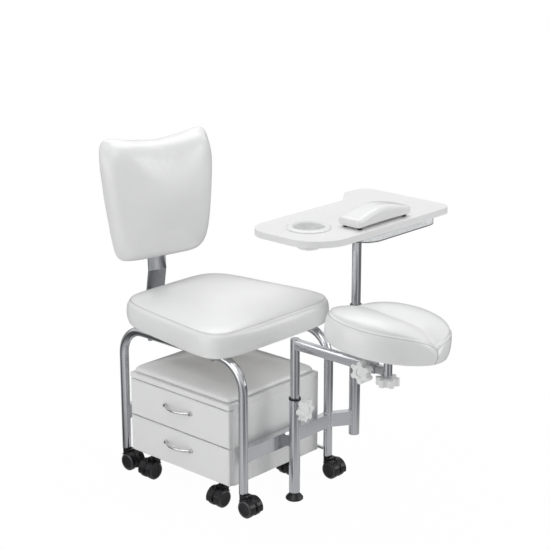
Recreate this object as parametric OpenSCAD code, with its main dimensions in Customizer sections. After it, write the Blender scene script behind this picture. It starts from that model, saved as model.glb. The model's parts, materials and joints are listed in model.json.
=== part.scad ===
// Working chair for manicure and pedicure: a caster frame with a padded seat and back, a drawer stool
// that parks under the seat, a telescopic footrest arm and a manicure table on its own mast.
// Millimetres, Z up, X to the sitter's left, -Y the way the sitter faces.

/* [Leg frames] */
// Outer diameter of the leg tubes
leg_d = 25; // [22:0.5:28]
// Wall of all round tubes
tube_wall = 1.5; // [1.2:0.1:2]
// Distance between the two leg frames, tube centre to tube centre
frame_w = 340; // [335:1:370]
// Distance between front and rear legs, tube centre to tube centre
frame_l = 456; // [448:2:480]
// Height of the centre of the tube under the seat
run_z = 420; // [400:5:440]
// Bend radius of the tube's centre line
bend_r = 78; // [60:2:90]
// Height of the cross bars
bar_h = 40; // [30:1:45]
// Thickness of the cross bars
bar_t = 20; // [16:1:24]
// Wall of the cross bars
bar_wall = 1.5; // [1.2:0.1:2]
// Lower edge of the cross bars
bar_z = 147; // [140:1:160]
// Diameter of the low side bar
side_bar_d = 10; // [8:1:12]
// Height of the low side bar
side_bar_z = 76; // [72:1:90]

/* [Casters] */
// Diameter of a caster wheel
wheel_d = 50; // [46:1:52]
// Width over a pair of wheels
caster_w = 45; // [42:1:46]
// Distance from the swivel axis back to the axle
trail = 22; // [18:1:22]
// Height of a caster up to its socket
caster_h = 57.7; // [56:0.1:60]
// Diameter of a caster's stem
stem_d = 11; // [9:0.5:12]

/* [Posts] */
// Outer diameter of the two lower posts
post_d = 30; // [28:0.5:34]
// Diameter of the masts that slide in the posts
mast_d = 25; // [22:0.5:25]
// Sideways place of the foot post, from the middle of the front bar
foot_post_x = -10; // [-30:1:30]
// Spacer between the front bar and the foot post
post_spacer = 12; // [6:1:20]
// Lower end of the foot post
foot_post_z = 22; // [20:1:30]
// Upper end of the foot post
foot_post_top = 288; // [260:1:300]
// Sideways distance of the table post from the right front leg
table_post_out = 63; // [55:1:80]
// Forward distance of the table post from the right front leg
table_post_fwd = 42; // [30:1:50]
// Lower end of the table post
table_post_z = 117; // [100:1:130]
// Upper end of the table post
table_post_top = 492; // [470:1:510]
// Height of a post collar above its post
collar_h = 5; // [4:0.5:8]
// Diameter of the levelling foot
level_foot_d = 48; // [40:1:56]

/* [Foot arm] */
// Width of the foot arm's square tube
arm_w = 20; // [18:1:24]
// Height of the foot arm's square tube
arm_h = 25; // [22:1:30]
// Wall of the foot arm's square tube
arm_wall = 1.5; // [1.2:0.1:2]
// Underside of the foot arm
arm_z = 432; // [420:1:445]
// Distance from the foot post to the footrest's pivot
arm_reach = 311; // [290:1:340]
// Distance from the pivot back to the end of the outer arm
slider_show = 36; // [28:1:50]
// Diameter of the footrest's pivot pin
pivot_d = 16; // [14:0.5:18]

/* [Footrest] */
// Radius of the footrest cushion
footrest_r = 160; // [150:1:170]
// Underside of the footrest cushion
footrest_z = 510; // [506:1:525]
// Height of the cushion's side walls at the raised sides
footrest_side_h = 77; // [70:1:92]
// Height of the footrest's far side, towards +X
footrest_far_h = 72; // [66:1:90]
// Height of the cushion's side walls at the front and back
footrest_end_h = 50; // [46:1:66]
// Thickness of the footrest board
footrest_board_t = 12; // [9:1:15]
// Lean of the footrest on its stem
footrest_lean = 9; // [0:0.5:10]
// Direction in which the footrest leans down
footrest_lean_to = -25; // [-90:1:0]

/* [Seat] */
// Width of the seat at its front
seat_w = 484; // [470:2:494]
// Width of the seat at its back
seat_back_w = 388; // [380:2:404]
// Length of the seat
seat_l = 456; // [450:2:470]
// Thickness of the seat board
seat_board_t = 14; // [10:1:18]
// Height of the seat cushion's side up to its seam
seat_side_h = 68; // [60:1:75]
// Rise of the seat's crown above its seam
seat_crown = 17; // [10:1:25]

/* [Backrest] */
// Greatest width of the backrest
back_w = 362; // [350:2:384]
// Width of the backrest near its lower edge
back_low_w = 288; // [280:2:316]
// Height of the backrest
back_h = 362; // [335:1:371]
// Thickness of the backrest with its board
back_t = 72; // [55:1:75]
// Height of the backrest's centre above the floor
back_z = 760; // [745:1:775]
// Backward lean of the backrest
back_lean = 3.5; // [0:0.5:8]
// Turn of the backrest and its bracket on their bolts
back_turn = -11; // [-14:1:10]
// Sideways place of the backrest on its bracket
back_x = 5; // [-10:1:10]
// Width of the back bracket
bracket_w = 58; // [50:1:65]
// Thickness of the back bracket
bracket_t = 6; // [5:0.5:8]

/* [Stool] */
// Depth of the stool from its drawer fronts to its back
stool_d = 354; // [345:1:358]
// Gap between the stool and each cross bar
stool_gap = 28.5; // [26:0.5:33]
// Height of the top of the stool's cabinet
stool_top_z = 305; // [300:1:315]
// Underside of the stool's cabinet
stool_z = 73; // [72:0.5:76]
// Thickness of the stool's panels
panel_t = 15; // [12:1:18]
// Thickness of the drawer fronts
front_t = 18; // [15:1:20]
// Gap around a drawer front
front_gap = 3; // [2:0.5:5]
// Height of the stool cushion's crown
stool_pad_h = 42; // [35:1:50]
// Hole spacing of the drawer handles
handle_pitch = 96; // [80:1:128]

/* [Table] */
// Length of the table top
table_l = 562; // [540:1:580]
// Radius of the table's round front corner
table_end_r = 108; // [95:1:120]
// Radius of the table's round back corner
table_back_r = 70; // [60:1:80]
// Depth of the table top at its round end
table_d = 267; // [255:1:285]
// Further depth of the table top at its square end
table_step = 53; // [40:1:60]
// Thickness of the table top
table_t = 18; // [15:1:22]
// Upper face of the table top
table_z = 735; // [725:1:750]
// Diameter of the finger bowl's rim
bowl_rim_d = 120; // [114:1:135]
// Diameter of the finger bowl's opening
bowl_d = 84; // [76:1:95]
// Depth of the finger bowl
bowl_depth = 60; // [44:1:62]
// Length of the hand rest
hand_rest_l = 221; // [190:1:230]
// Width of the hand rest
hand_rest_w = 76; // [70:1:85]
// Length of the swivel tray
tray_l = 330; // [310:1:340]
// Width of the swivel tray
tray_w = 160; // [150:1:170]

/* [Knobs] */
// Diameter of a star knob
knob_d = 60; // [50:1:64]
// Thickness of a star knob
knob_t = 20; // [16:1:22]
// Diameter of a knob's threaded stud
stud_d = 8; // [6:1:10]

/* [Hidden] */

round_fn = 48;
small_fn = 24;
play = 0.3;
run_play = 0.05;
seat_n = 64;
back_n = 64;

half_w = frame_w / 2;
half_l = frame_l / 2;
leg_r = leg_d / 2;
wheel_r = wheel_d / 2;
post_r = post_d / 2;
mast_r = mast_d / 2;
mast_wall = 1.5;
socket_flange = 2.3;
leg_end_z = caster_h + socket_flange;
run_top = run_z + leg_r;

foot_post_y = -half_l - bar_t / 2 - post_spacer - post_r;
table_post_x = half_w + table_post_out;
table_post_y = -half_l - table_post_fwd;

pivot_y = foot_post_y - arm_reach;
arm_end_y = pivot_y + slider_show;
arm_mid_z = arm_z + arm_h / 2;
sleeve_r = pivot_d / 2 + 3;
sleeve_z = arm_z - 2;
foot_plate_t = 4;
foot_plate_z = footrest_z - foot_plate_t;
sleeve_top = foot_plate_z - (sleeve_r + 10) * sin(footrest_lean) - play;

seat_z = run_top;
seat_y = 15;
back_y = 281;
back_pivot_y = 262;
drawer_play = 12.5;

stool_w = frame_l - bar_t - 2 * stool_gap;
stool_x0 = -half_w - 26;
stool_y0 = -stool_w / 2 - 11.5;
stool_mid_y = stool_y0 + stool_w / 2;
cabinet_x0 = stool_x0 + front_t;
cabinet_x1 = stool_x0 + stool_d;
cabinet_top = stool_top_z - panel_t;
drawer_zone = (cabinet_top - stool_z - 3 * front_gap) / 2;
drawer_box_t = 12;
stool_caster_in = 56;
stool_stem_top = stool_z + 11;

table_x0 = table_post_x - 267;
table_y0 = table_post_y - 101;
bowl_x = table_x0 + 114;
bowl_y = table_y0 + 140;
hand_rest_x = table_post_x + 18;
hand_rest_y = table_y0 + 17 + hand_rest_w / 2;
flange_t = 4;
tray_top = table_z - table_t - flange_t - 1.5;
tray_h = 19;
tray_wall = 2.5;
tray_x0 = table_post_x - 66;
tray_y0 = table_post_y - 87;

// Place of the footrest's middle from its stem.
footrest_off = [-8, 3];
footrest_turns = [for (i = [0:55]) 360 * i / 56];
// Inset of each ring of the footrest's wall, and its share of the wall's height.
footrest_wall = [[8, 0], [1.5, 0.18], [0, 0.45], [1.5, 0.75], [7, 0.97]];
x_low = min([for (p = seat_ring(seat_n, 0, 0)) p[0]]);
x_high = table_x0 + table_l;
y_low = min([for (s = footrest_wall) for (t = footrest_turns) footrest_point(t, footrest_r - s[0], s[1])[1]]);
y_high = max([for (w = [1, 0.18 * back_t]) for (p = back_ring(back_n, w == 1 ? 3 : 0, w))
    back_pivot_y + p[0] * sin(back_turn) + (p[1] - back_pivot_y) * cos(back_turn)]);
origin_x = (x_low + x_high) / 2;
origin_y = (y_low + y_high) / 2;

// The origin lies on the floor under the middle of the whole outline.
module on_floor() { translate([-origin_x, -origin_y, 0]) children(); }

function sgn_pow(v, p) = sign(v) * pow(abs(v), p);

// Closed skin through rings of equal length, closed by a fan at each end.
module skin(rings, low, high) {
    n = len(rings[0]);
    m = len(rings);
    points = concat([for (r = rings) for (p = r) p], [low, high]);
    faces = concat(
        [for (k = [0:m - 2]) for (i = [0:n - 1])
            [k * n + i, (k + 1) * n + (i + 1) % n, k * n + (i + 1) % n]],
        [for (k = [0:m - 2]) for (i = [0:n - 1])
            [k * n + i, (k + 1) * n + i, (k + 1) * n + (i + 1) % n]],
        [for (i = [0:n - 1]) [m * n, i, (i + 1) % n]],
        [for (i = [0:n - 1]) [m * n + 1, (m - 1) * n + (i + 1) % n, (m - 1) * n + i]]
    );
    polyhedron(points, faces, convexity = 6);
}

module tube(r, wall, h) {
    difference() {
        cylinder(r = r, h = h, $fn = round_fn);
        translate([0, 0, -1]) cylinder(r = r - wall, h = h + 2, $fn = round_fn);
    }
}

// One solid round bar along the path of a leg frame, in the plane x = 0.
module frame_path(r, over) {
    for (s = [-1, 1]) {
        translate([0, s * half_l, leg_end_z - over])
            cylinder(r = r, h = run_z - bend_r - leg_end_z + over, $fn = round_fn);
        translate([0, s * (half_l - bend_r), run_z - bend_r])
            rotate([90, 0, s * 90]) rotate_extrude(angle = 90, $fn = round_fn)
                translate([bend_r, 0]) circle(r = r, $fn = round_fn);
    }
    translate([0, -(half_l - bend_r), run_z]) rotate([-90, 0, 0])
        cylinder(r = r, h = 2 * (half_l - bend_r), $fn = round_fn);
}

seat_bolt_y = 120;
bolt_r = 3;
bolt_hole_r = 3.2;

module leg_frame() {
    difference() {
        frame_path(leg_r, 0);
        frame_path(leg_r - tube_wall, 1);
        for (y = [-seat_bolt_y, seat_bolt_y])
            translate([0, y, run_z - leg_r - 1]) cylinder(r = bolt_hole_r, h = leg_d + 2, $fn = small_fn);
    }
}

module left_leg_frame() { color("silver") on_floor() translate([-half_w, 0, 0]) leg_frame(); }
module right_leg_frame() { color("silver") on_floor() translate([half_w, 0, 0]) leg_frame(); }

// Rectangular tube along X between x0 and x1, its middle at y, cut to the round legs.
module cross_bar(y) {
    difference() {
        translate([-half_w, y - bar_t / 2, bar_z]) cube([frame_w, bar_t, bar_h]);
        translate([-half_w - 1, y - bar_t / 2 + bar_wall, bar_z + bar_wall])
            cube([frame_w + 2, bar_t - 2 * bar_wall, bar_h - 2 * bar_wall]);
        for (s = [-1, 1]) translate([s * half_w, y, bar_z - 1])
            cylinder(r = leg_r, h = bar_h + 2, $fn = round_fn);
    }
}

module front_bar() { color("silver") on_floor() cross_bar(-half_l); }
module rear_bar() { color("silver") on_floor() cross_bar(half_l); }

module side_bar() {
    color("silver") on_floor() difference() {
        translate([half_w, -half_l, side_bar_z]) rotate([-90, 0, 0])
            cylinder(d = side_bar_d, h = frame_l, $fn = small_fn);
        for (s = [-1, 1]) translate([half_w, s * half_l, side_bar_z - side_bar_d])
            cylinder(r = leg_r, h = 2 * side_bar_d, $fn = round_fn);
    }
}

module table_bracket_bar() {
    reach = sqrt(pow(table_post_out, 2) + pow(table_post_fwd, 2));
    turn = atan2(-table_post_fwd, table_post_out);
    color("silver") on_floor() difference() {
        translate([half_w, -half_l, bar_z]) rotate([0, 0, turn]) difference() {
            translate([0, -bar_t / 2, 0]) cube([reach, bar_t, bar_h]);
            translate([-1, -bar_t / 2 + bar_wall, bar_wall])
                cube([reach + 2, bar_t - 2 * bar_wall, bar_h - 2 * bar_wall]);
        }
        translate([half_w, -half_l, bar_z - 1]) cylinder(r = leg_r, h = bar_h + 2, $fn = round_fn);
        translate([table_post_x, table_post_y, bar_z - 1]) cylinder(r = post_r, h = bar_h + 2, $fn = round_fn);
        // Clear of the front bar's end.
        translate([0, -half_l - bar_t / 2, bar_z - 1]) cube([half_w, bar_t, bar_h + 2]);
    }
}

boss_r = 8;
boss_l = 7;
foot_knob_z = foot_post_top - 24;
foot_knob_turn = 10;
table_knob_z = table_post_top - 48;
nut_plate_t = 8;
level_stud_d = 10;

// Post tube with a welded boss for its clamp knob, the boss towards -Y turned by the angle given.
module post_tube(z0, z1, knob_z, turn) {
    difference() {
        union() {
            translate([0, 0, z0]) cylinder(r = post_r, h = z1 - z0, $fn = round_fn);
            rotate([0, 0, turn]) translate([0, -post_r - boss_l, knob_z]) rotate([-90, 0, 0])
                cylinder(r = boss_r, h = boss_l + 3, $fn = small_fn);
        }
        translate([0, 0, z0 - 1]) cylinder(r = post_r - tube_wall, h = z1 - z0 + 2, $fn = round_fn);
        rotate([0, 0, turn]) translate([0, -post_r - boss_l - 1, knob_z]) rotate([-90, 0, 0])
            cylinder(r = stud_d / 2 + run_play, h = boss_l + post_r, $fn = small_fn);
    }
}

module foot_post_tube() {
    color("silver") on_floor() translate([foot_post_x, foot_post_y, 0]) {
        post_tube(foot_post_z, foot_post_top, foot_knob_z, foot_knob_turn);
        // Nut plate for the levelling foot's stud.
        difference() {
            translate([0, 0, foot_post_z]) cylinder(r = post_r - tube_wall + 0.2, h = nut_plate_t, $fn = round_fn);
            translate([0, 0, foot_post_z - 1])
                cylinder(d = level_stud_d + 2 * run_play, h = nut_plate_t + 2, $fn = small_fn);
        }
        // Spacer block between the post and the front bar.
        difference() {
            translate([-bar_t / 2, 0, bar_z + 4]) cube([bar_t, post_r + post_spacer, bar_h - 8]);
            translate([0, 0, bar_z]) cylinder(r = post_r - 0.2, h = bar_h, $fn = round_fn);
        }
    }
}

module table_post_tube() {
    color("silver") on_floor() translate([table_post_x, table_post_y, 0])
        post_tube(table_post_z, table_post_top, table_knob_z, 90);
}

module leg_sockets() {
    color("black") on_floor() for (x = [-half_w, half_w]) for (y = [-half_l, half_l]) translate([x, y, caster_h])
        difference() {
            union() {
                cylinder(r = leg_r, h = socket_flange, $fn = round_fn);
                cylinder(r = leg_r - tube_wall - run_play, h = socket_flange + 36, $fn = round_fn);
            }
            translate([0, 0, -1]) cylinder(d = stem_d + 2 * run_play, h = socket_flange + 38, $fn = small_fn);
        }
}

// Outline of the seat: wider in front, its corners rounder behind.
function seat_point(t, inset) = let (
    n = sin(t) < 0 ? 6 : 5.4,
    ex = sgn_pow(cos(t), 2 / n), ey = sgn_pow(sin(t), 2 / n),
    front = seat_w / 2 + 12, rear = seat_back_w / 2,
    hw = (front + rear) / 2 - (front - rear) / 2 * ey - inset,
    hl = seat_l / 2 - inset)
    [ex * hw, seat_y + ey * hl];
function seat_ring(n, inset, z) = [for (i = [0:n - 1]) let (p = seat_point(360 * i / n, inset)) [p[0], p[1], z]];

seat_lip = 15;

module seat_board() {
    color("tan") on_floor() difference() {
        translate([0, 0, seat_z]) linear_extrude(seat_board_t)
            polygon([for (i = [0:71]) seat_point(5 * i, seat_lip + play)]);
        for (x = [-half_w, half_w]) for (y = [-seat_bolt_y, seat_bolt_y])
            translate([x, y, seat_z - 1]) cylinder(r = bolt_hole_r, h = seat_board_t + 2, $fn = small_fn);
        back_bolt_places() translate([0, 0, seat_z - 1])
            cylinder(r = bolt_hole_r, h = seat_board_t + 2, $fn = small_fn);
    }
}

module seat_cushion() {
    roof = seat_z + seat_board_t + play;
    seam = seat_z + seat_side_h;
    color("white") on_floor() skin([
        seat_ring(seat_n, seat_lip, roof),
        seat_ring(seat_n, seat_lip, seat_z + 0.4),
        seat_ring(seat_n, 9, seat_z + 0.4),
        seat_ring(seat_n, 2.5, seat_z + 0.2 * seat_side_h),
        seat_ring(seat_n, 0, seat_z + 0.45 * seat_side_h),
        seat_ring(seat_n, 1.5, seat_z + 0.75 * seat_side_h),
        seat_ring(seat_n, 6, seam),
        seat_ring(seat_n, 11, seam + 0.15 * seat_crown),
        seat_ring(seat_n, 34, seam + 0.55 * seat_crown),
        seat_ring(seat_n, 90, seam + 0.88 * seat_crown)
    ], [0, seat_y, roof], [0, seat_y, seam + seat_crown]);
}

back_bolt_pitch = 60;
bracket_front_y = 60;

// The backrest and its bracket turn together about an upright line through the backrest.
module back_turned() { translate([0, back_pivot_y, 0]) rotate([0, 0, back_turn]) translate([0, -back_pivot_y, 0]) children(); }

module back_bolt_places() {
    back_turned() for (y = [0, back_bolt_pitch]) translate([0, bracket_front_y + 25 + y, 0]) children();
}

// Place on the backrest: across, up its rear face, and forward from it.
function back_place(u, v, w) = [u, back_y + v * sin(back_lean) - w * cos(back_lean),
    back_z + v * cos(back_lean) + w * sin(back_lean)];

module strip(a, b, t) {
    d = b - a;
    translate(a) rotate(atan2(d[1], d[0])) translate([0, -t / 2]) square([norm(d), t]);
    translate(a) circle(d = t, $fn = small_fn);
    translate(b) circle(d = t, $fn = small_fn);
}

back_bolt_v = [-110, -60];
crease_v = -222;
bracket_top_v = -35;

module bracket_side() {
    lay = -bracket_t / 2;
    top = back_place(0, bracket_top_v, lay);
    crease = back_place(0, crease_v, lay);
    level = seat_z - bracket_t / 2;
    low_y = crease[1] + 19;
    path = [[bracket_front_y, level], [low_y - 20, level], [low_y - 8, level + 4], [low_y, level + 16],
        [crease[1], crease[2]], [top[1], top[2]]];
    for (i = [0:len(path) - 2]) strip(path[i], path[i + 1], bracket_t);
}

module back_bracket() {
    color("gray") on_floor() difference() {
        back_turned() translate([-bracket_w / 2, 0, 0]) rotate([90, 0, 90])
            linear_extrude(bracket_w) bracket_side();
        back_bolt_places() translate([0, 0, seat_z - bracket_t - 1])
            cylinder(r = bolt_hole_r, h = bracket_t + 2, $fn = small_fn);
        back_turned() for (v = back_bolt_v) back_bolt_axis(v) translate([0, 0, -bracket_t - 1])
            cylinder(r = bolt_hole_r, h = bracket_t + 2, $fn = small_fn);
    }
}

// Children with their Z axis along a bolt that enters the backrest from behind.
module back_bolt_axis(v) { translate(back_place(0, v, 0)) rotate([90 + back_lean * -1, 0, 0]) children(); }

back_board_t = 10;

// Outline of the backrest: two round lobes above, a dip between them, narrower below.
function back_point(t, inset, w = 0) = let (
    soft = min(1, w / (0.4 * back_t)),
    n = sin(t) < 0 ? 14 - 7.5 * soft : 10 - 5.5 * soft,
    ex = sgn_pow(cos(t), 2 / n), ey = sgn_pow(sin(t), 2 / n),
    wide = back_w / 2, low = back_low_w / 2,
    hw = wide - (wide - low) * pow((1 - ey) / 2, 1.9) - inset,
    hh = back_h / 2 - inset,
    dip = 30 * pow(1 - ex * ex, 1.5) * pow(max(ey, 0), 3))
    [back_x + ex * hw, ey * hh - dip];
function back_ring(n, inset, w) = [for (i = [0:n - 1])
    let (p = back_point(-360 * i / n, inset, inset == 12 ? 0 : w)) back_place(p[0], p[1], w)];

module backrest_board() {
    color("tan") on_floor() back_turned() difference() {
        translate(back_place(0, 0, 0)) rotate([90 - back_lean, 0, 0]) linear_extrude(back_board_t)
            polygon([for (i = [0:71]) back_point(5 * i, 12 + play)]);
        for (v = back_bolt_v) back_bolt_axis(v) translate([0, 0, -1])
            cylinder(r = bolt_hole_r, h = back_board_t + 2, $fn = small_fn);
    }
}

module backrest_cushion() {
    n = back_n;
    roof = back_board_t + play;
    color("white") on_floor() back_turned() skin([
        back_ring(n, 12, roof),
        back_ring(n, 12, 1),
        back_ring(n, 3, 1),
        back_ring(n, 0, 0.18 * back_t),
        back_ring(n, 1, 0.38 * back_t),
        back_ring(n, 6, 0.6 * back_t),
        back_ring(n, 16, 0.8 * back_t),
        back_ring(n, 34, 0.92 * back_t),
        back_ring(n, 80, 0.98 * back_t)
    ], back_place(0, 0, roof), back_place(0, 0, back_t));
}

bolt_head_r = 6;
bolt_head_h = 3.5;

module bolt(grip) {
    translate([0, 0, -bolt_head_h]) cylinder(r = bolt_head_r, h = bolt_head_h, $fn = small_fn);
    cylinder(r = bolt_r, h = grip, $fn = small_fn);
}

module fasteners() {
    color("dimgray") on_floor() {
        for (x = [-half_w, half_w]) for (y = [-seat_bolt_y, seat_bolt_y])
            translate([x, y, run_z - leg_r]) bolt(leg_d + seat_board_t);
        back_bolt_places() translate([0, 0, seat_z - bracket_t]) bolt(bracket_t + seat_board_t);
        back_turned() for (v = back_bolt_v) back_bolt_axis(v) translate([0, 0, -bracket_t])
            bolt(bracket_t + back_board_t);
    }
}

module levelling_foot() {
    color("black") on_floor() translate([foot_post_x, foot_post_y, 0]) {
        rotate_extrude($fn = round_fn) polygon([
            [0, 0], [level_foot_d / 2 - 2, 0], [level_foot_d / 2, 2], [level_foot_d / 2, 6],
            [level_foot_d / 2 - 4, 11], [level_stud_d, foot_post_z - play], [0, foot_post_z - play]]);
        cylinder(d = level_stud_d, h = foot_post_z + nut_plate_t + 16, $fn = small_fn);
    }
}

web_t = 9;
wheel_gap = 11;
axle_r = 4;
hood_play = 0.9;
hood_t = 2;
hood_low = -8;
hood_front = 19;
stem_top = caster_h + 27;

// Caster hood at its swivel axis, the wheels behind it towards -Y.
module caster_housing() {
    hood_r = wheel_r + hood_play + hood_t;
    boss = stem_d / 2 + 6;
    color("black") difference() {
        union() {
            // Hood over the wheels, which reaches below the axle behind, and the web between them.
            translate([0, -trail, wheel_r]) rotate([90, 0, 90]) {
                translate([0, 0, -caster_w / 2]) linear_extrude(caster_w) difference() {
                    intersection() {
                        circle(r = hood_r, $fn = round_fn);
                        polygon([[-hood_r - 1, hood_low], [0, hood_low], [0, hood_front],
                            [hood_r + 1, hood_front], [hood_r + 1, hood_r + 1], [-hood_r - 1, hood_r + 1]]);
                    }
                    circle(r = wheel_r + hood_play, $fn = round_fn);
                }
                translate([0, 0, -web_t / 2]) cylinder(r = wheel_r - 4, h = web_t, $fn = round_fn);
                translate([0, 0, -web_t / 2]) linear_extrude(web_t) intersection() {
                    circle(r = hood_r - 1, $fn = round_fn);
                    translate([-hood_r, 6]) square([2 * hood_r, hood_r]);
                }
            }
            difference() {
                union() {
                    translate([0, 0, wheel_r]) cylinder(r = boss, h = caster_h - play - wheel_r, $fn = round_fn);
                    translate([-boss, -trail, wheel_r + 10]) cube([2 * boss, trail, caster_h - play - wheel_r - 10]);
                }
                translate([-caster_w, -trail, wheel_r]) rotate([0, 90, 0])
                    cylinder(r = wheel_r + hood_play, h = 2 * caster_w, $fn = round_fn);
            }
            cylinder(d = stem_d, h = stem_top, $fn = small_fn);
        }
        translate([-caster_w, -trail, wheel_r]) rotate([0, 90, 0])
            cylinder(r = axle_r + run_play, h = 2 * caster_w, $fn = small_fn);
        // The stem starts at the boss.
        translate([-stem_d, -stem_d / 2 - 1, -1]) cube([2 * stem_d, stem_d + 2, wheel_r + 1]);
    }
}

module caster_wheels() {
    side = caster_w / 2;
    inner = wheel_gap / 2;
    color("dimgray") translate([0, -trail, wheel_r]) rotate([0, 90, 0]) {
        for (m = [0, 1]) mirror([0, 0, m]) rotate_extrude($fn = round_fn) polygon([
            [0, inner], [wheel_r - 2, inner], [wheel_r, inner + 2], [wheel_r, side - 4],
            [wheel_r - 2, side - 1.5], [wheel_r - 6, side], [wheel_r - 7.5, side - 2], [0, side - 3]]);
        translate([0, 0, -inner - 1]) cylinder(r = axle_r, h = 2 * inner + 2, $fn = small_fn);
    }
}

module at_leg(x, y) { on_floor() translate([x * half_w, y * half_l, 0]) children(); }

module caster_fl_housing() { at_leg(-1, -1) caster_housing(); }
module caster_fl_wheels() { at_leg(-1, -1) caster_wheels(); }
module caster_fr_housing() { at_leg(1, -1) caster_housing(); }
module caster_fr_wheels() { at_leg(1, -1) caster_wheels(); }
module caster_rl_housing() { at_leg(-1, 1) caster_housing(); }
module caster_rl_wheels() { at_leg(-1, 1) caster_wheels(); }
module caster_rr_housing() { at_leg(1, 1) caster_housing(); }
module caster_rr_wheels() { at_leg(1, 1) caster_wheels(); }

stool_caster_x = [cabinet_x0 + 22, cabinet_x1 - 36];
stool_caster_y = [stool_y0 + stool_caster_in, stool_y0 + stool_w - stool_caster_in];

// Children at the stool caster in column i and row j, turned so that it trails towards -X.
module at_stool(i, j) {
    on_floor() translate([stool_caster_x[i], stool_caster_y[j], 0]) rotate([0, 0, -90]) children();
}

module stool_caster_fl_housing() { at_stool(0, 0) caster_housing(); }
module stool_caster_fl_wheels() { at_stool(0, 0) caster_wheels(); }
module stool_caster_fr_housing() { at_stool(1, 0) caster_housing(); }
module stool_caster_fr_wheels() { at_stool(1, 0) caster_wheels(); }
module stool_caster_rl_housing() { at_stool(0, 1) caster_housing(); }
module stool_caster_rl_wheels() { at_stool(0, 1) caster_wheels(); }
module stool_caster_rr_housing() { at_stool(1, 1) caster_housing(); }
module stool_caster_rr_wheels() { at_stool(1, 1) caster_wheels(); }

socket_r = stem_d / 2 + 4;
socket_plate = 44;

module stool_sockets() {
    color("black") on_floor() for (x = stool_caster_x) for (y = stool_caster_y) translate([x, y, 0]) difference() {
        union() {
            translate([0, 0, caster_h]) cylinder(r = socket_r, h = stem_top + 2 - caster_h, $fn = round_fn);
            translate([-socket_plate / 2, -socket_plate / 2, stool_z - 3]) cube([socket_plate, socket_plate, 3]);
        }
        translate([0, 0, caster_h - 1])
            cylinder(d = stem_d + 2 * run_play, h = stem_top + 4 - caster_h, $fn = small_fn);
    }
}

module stool_cabinet() {
    depth = cabinet_x1 - cabinet_x0;
    color("whitesmoke") on_floor() difference() {
        translate([cabinet_x0, stool_y0, stool_z]) difference() {
            cube([depth, stool_w, cabinet_top - stool_z]);
            translate([-1, panel_t, panel_t]) cube([depth - panel_t + 1, stool_w - 2 * panel_t, cabinet_top]);
        }
        for (x = stool_caster_x) for (y = stool_caster_y) translate([x, y, stool_z - 1])
            cylinder(r = socket_r + run_play, h = panel_t + 2, $fn = round_fn);
    }
}

module stool_top_panel() {
    color("whitesmoke") on_floor() translate([stool_x0 + 1, stool_y0, cabinet_top])
        cube([stool_d - 1, stool_w, panel_t]);
}

// Stool cushion: a square pad, its cover drawn down to the edges, with a soft crown.
function stool_pad_point(t, inset) = let (
    n = inset > 20 ? 7 : 14,
    ex = sgn_pow(cos(t), 2 / n), ey = sgn_pow(sin(t), 2 / n),
    pull = 2.5 * (1 - pow(abs(ex * ey), 2)))
    [(stool_x0 + cabinet_x1) / 2 + ex * (stool_d / 2 - 4 - inset - pull),
     stool_mid_y + ey * (stool_w / 2 - 3 - inset - pull)];
function stool_pad_ring(n, inset, z) = [for (i = [0:n - 1])
    let (p = stool_pad_point(360 * (i + 0.5) / n, inset)) [p[0], p[1], z]];

module stool_cushion() {
    n = 40;
    z0 = stool_top_z + play;
    mid = [(stool_x0 + cabinet_x1) / 2, stool_mid_y];
    color("white") on_floor() skin([
        stool_pad_ring(n, 2, z0),
        stool_pad_ring(n, 0, z0 + 0.12 * stool_pad_h),
        stool_pad_ring(n, 3, z0 + 0.26 * stool_pad_h),
        stool_pad_ring(n, 16, z0 + 0.46 * stool_pad_h),
        stool_pad_ring(n, 45, z0 + 0.74 * stool_pad_h),
        stool_pad_ring(n, 95, z0 + 0.94 * stool_pad_h)
    ], [mid[0], mid[1], z0], [mid[0], mid[1], z0 + stool_pad_h]);
}

inner_y0 = stool_y0 + panel_t;
inner_w = stool_w - 2 * panel_t;
box_w = inner_w - 2 * drawer_play;
box_l = cabinet_x1 - cabinet_x0 - panel_t - 30;
function drawer_z(i) = stool_z + front_gap + i * (drawer_zone + front_gap);
box_h = drawer_zone - 26;
box_lift = 16;
runner_h = 34;

module stool_runners() {
    color("gray") on_floor() for (i = [0, 1]) for (y = [inner_y0, inner_y0 + inner_w - drawer_play + play])
        translate([cabinet_x0 + 2, y, drawer_z(i) + box_lift + 12]) cube([box_l - 8, drawer_play - play, runner_h]);
}

module drawer_box(i) {
    color("whitesmoke") on_floor() translate([cabinet_x0, inner_y0 + drawer_play, drawer_z(i) + box_lift])
        difference() {
            cube([box_l, box_w, box_h]);
            translate([drawer_box_t, drawer_box_t, 8])
                cube([box_l - 2 * drawer_box_t, box_w - 2 * drawer_box_t, box_h]);
        }
}

bevel = 3;

module drawer_front(i) {
    w = stool_w - 2;
    color("whitesmoke") on_floor() difference() {
        translate([stool_x0, stool_y0 + 1, drawer_z(i)]) rotate([90, 0, 90]) linear_extrude(front_t)
            square([w, drawer_zone]);
        // Bevels round the face.
        for (s = [0, 1]) {
            translate([stool_x0, stool_y0 + 1 + s * w, drawer_z(i) - 1]) rotate([0, 0, 45])
                translate([-bevel / sqrt(2), -bevel / sqrt(2), 0]) cube([bevel * sqrt(2), bevel * sqrt(2), drawer_zone + 2]);
            translate([stool_x0, stool_y0, drawer_z(i) + s * drawer_zone]) rotate([0, 45, 0])
                translate([-bevel / sqrt(2), 0, -bevel / sqrt(2)]) cube([bevel * sqrt(2), stool_w, bevel * sqrt(2)]);
        }
        for (y = [-1, 1]) translate([stool_x0 - 1, stool_mid_y + y * handle_pitch / 2, handle_z(i)])
            rotate([0, 90, 0]) cylinder(r = 2.2, h = front_t + 2, $fn = small_fn);
    }
}

handle_reach = 24;
handle_r = 4;
function handle_z(i) = drawer_z(i) + 0.6 * drawer_zone;

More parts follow.
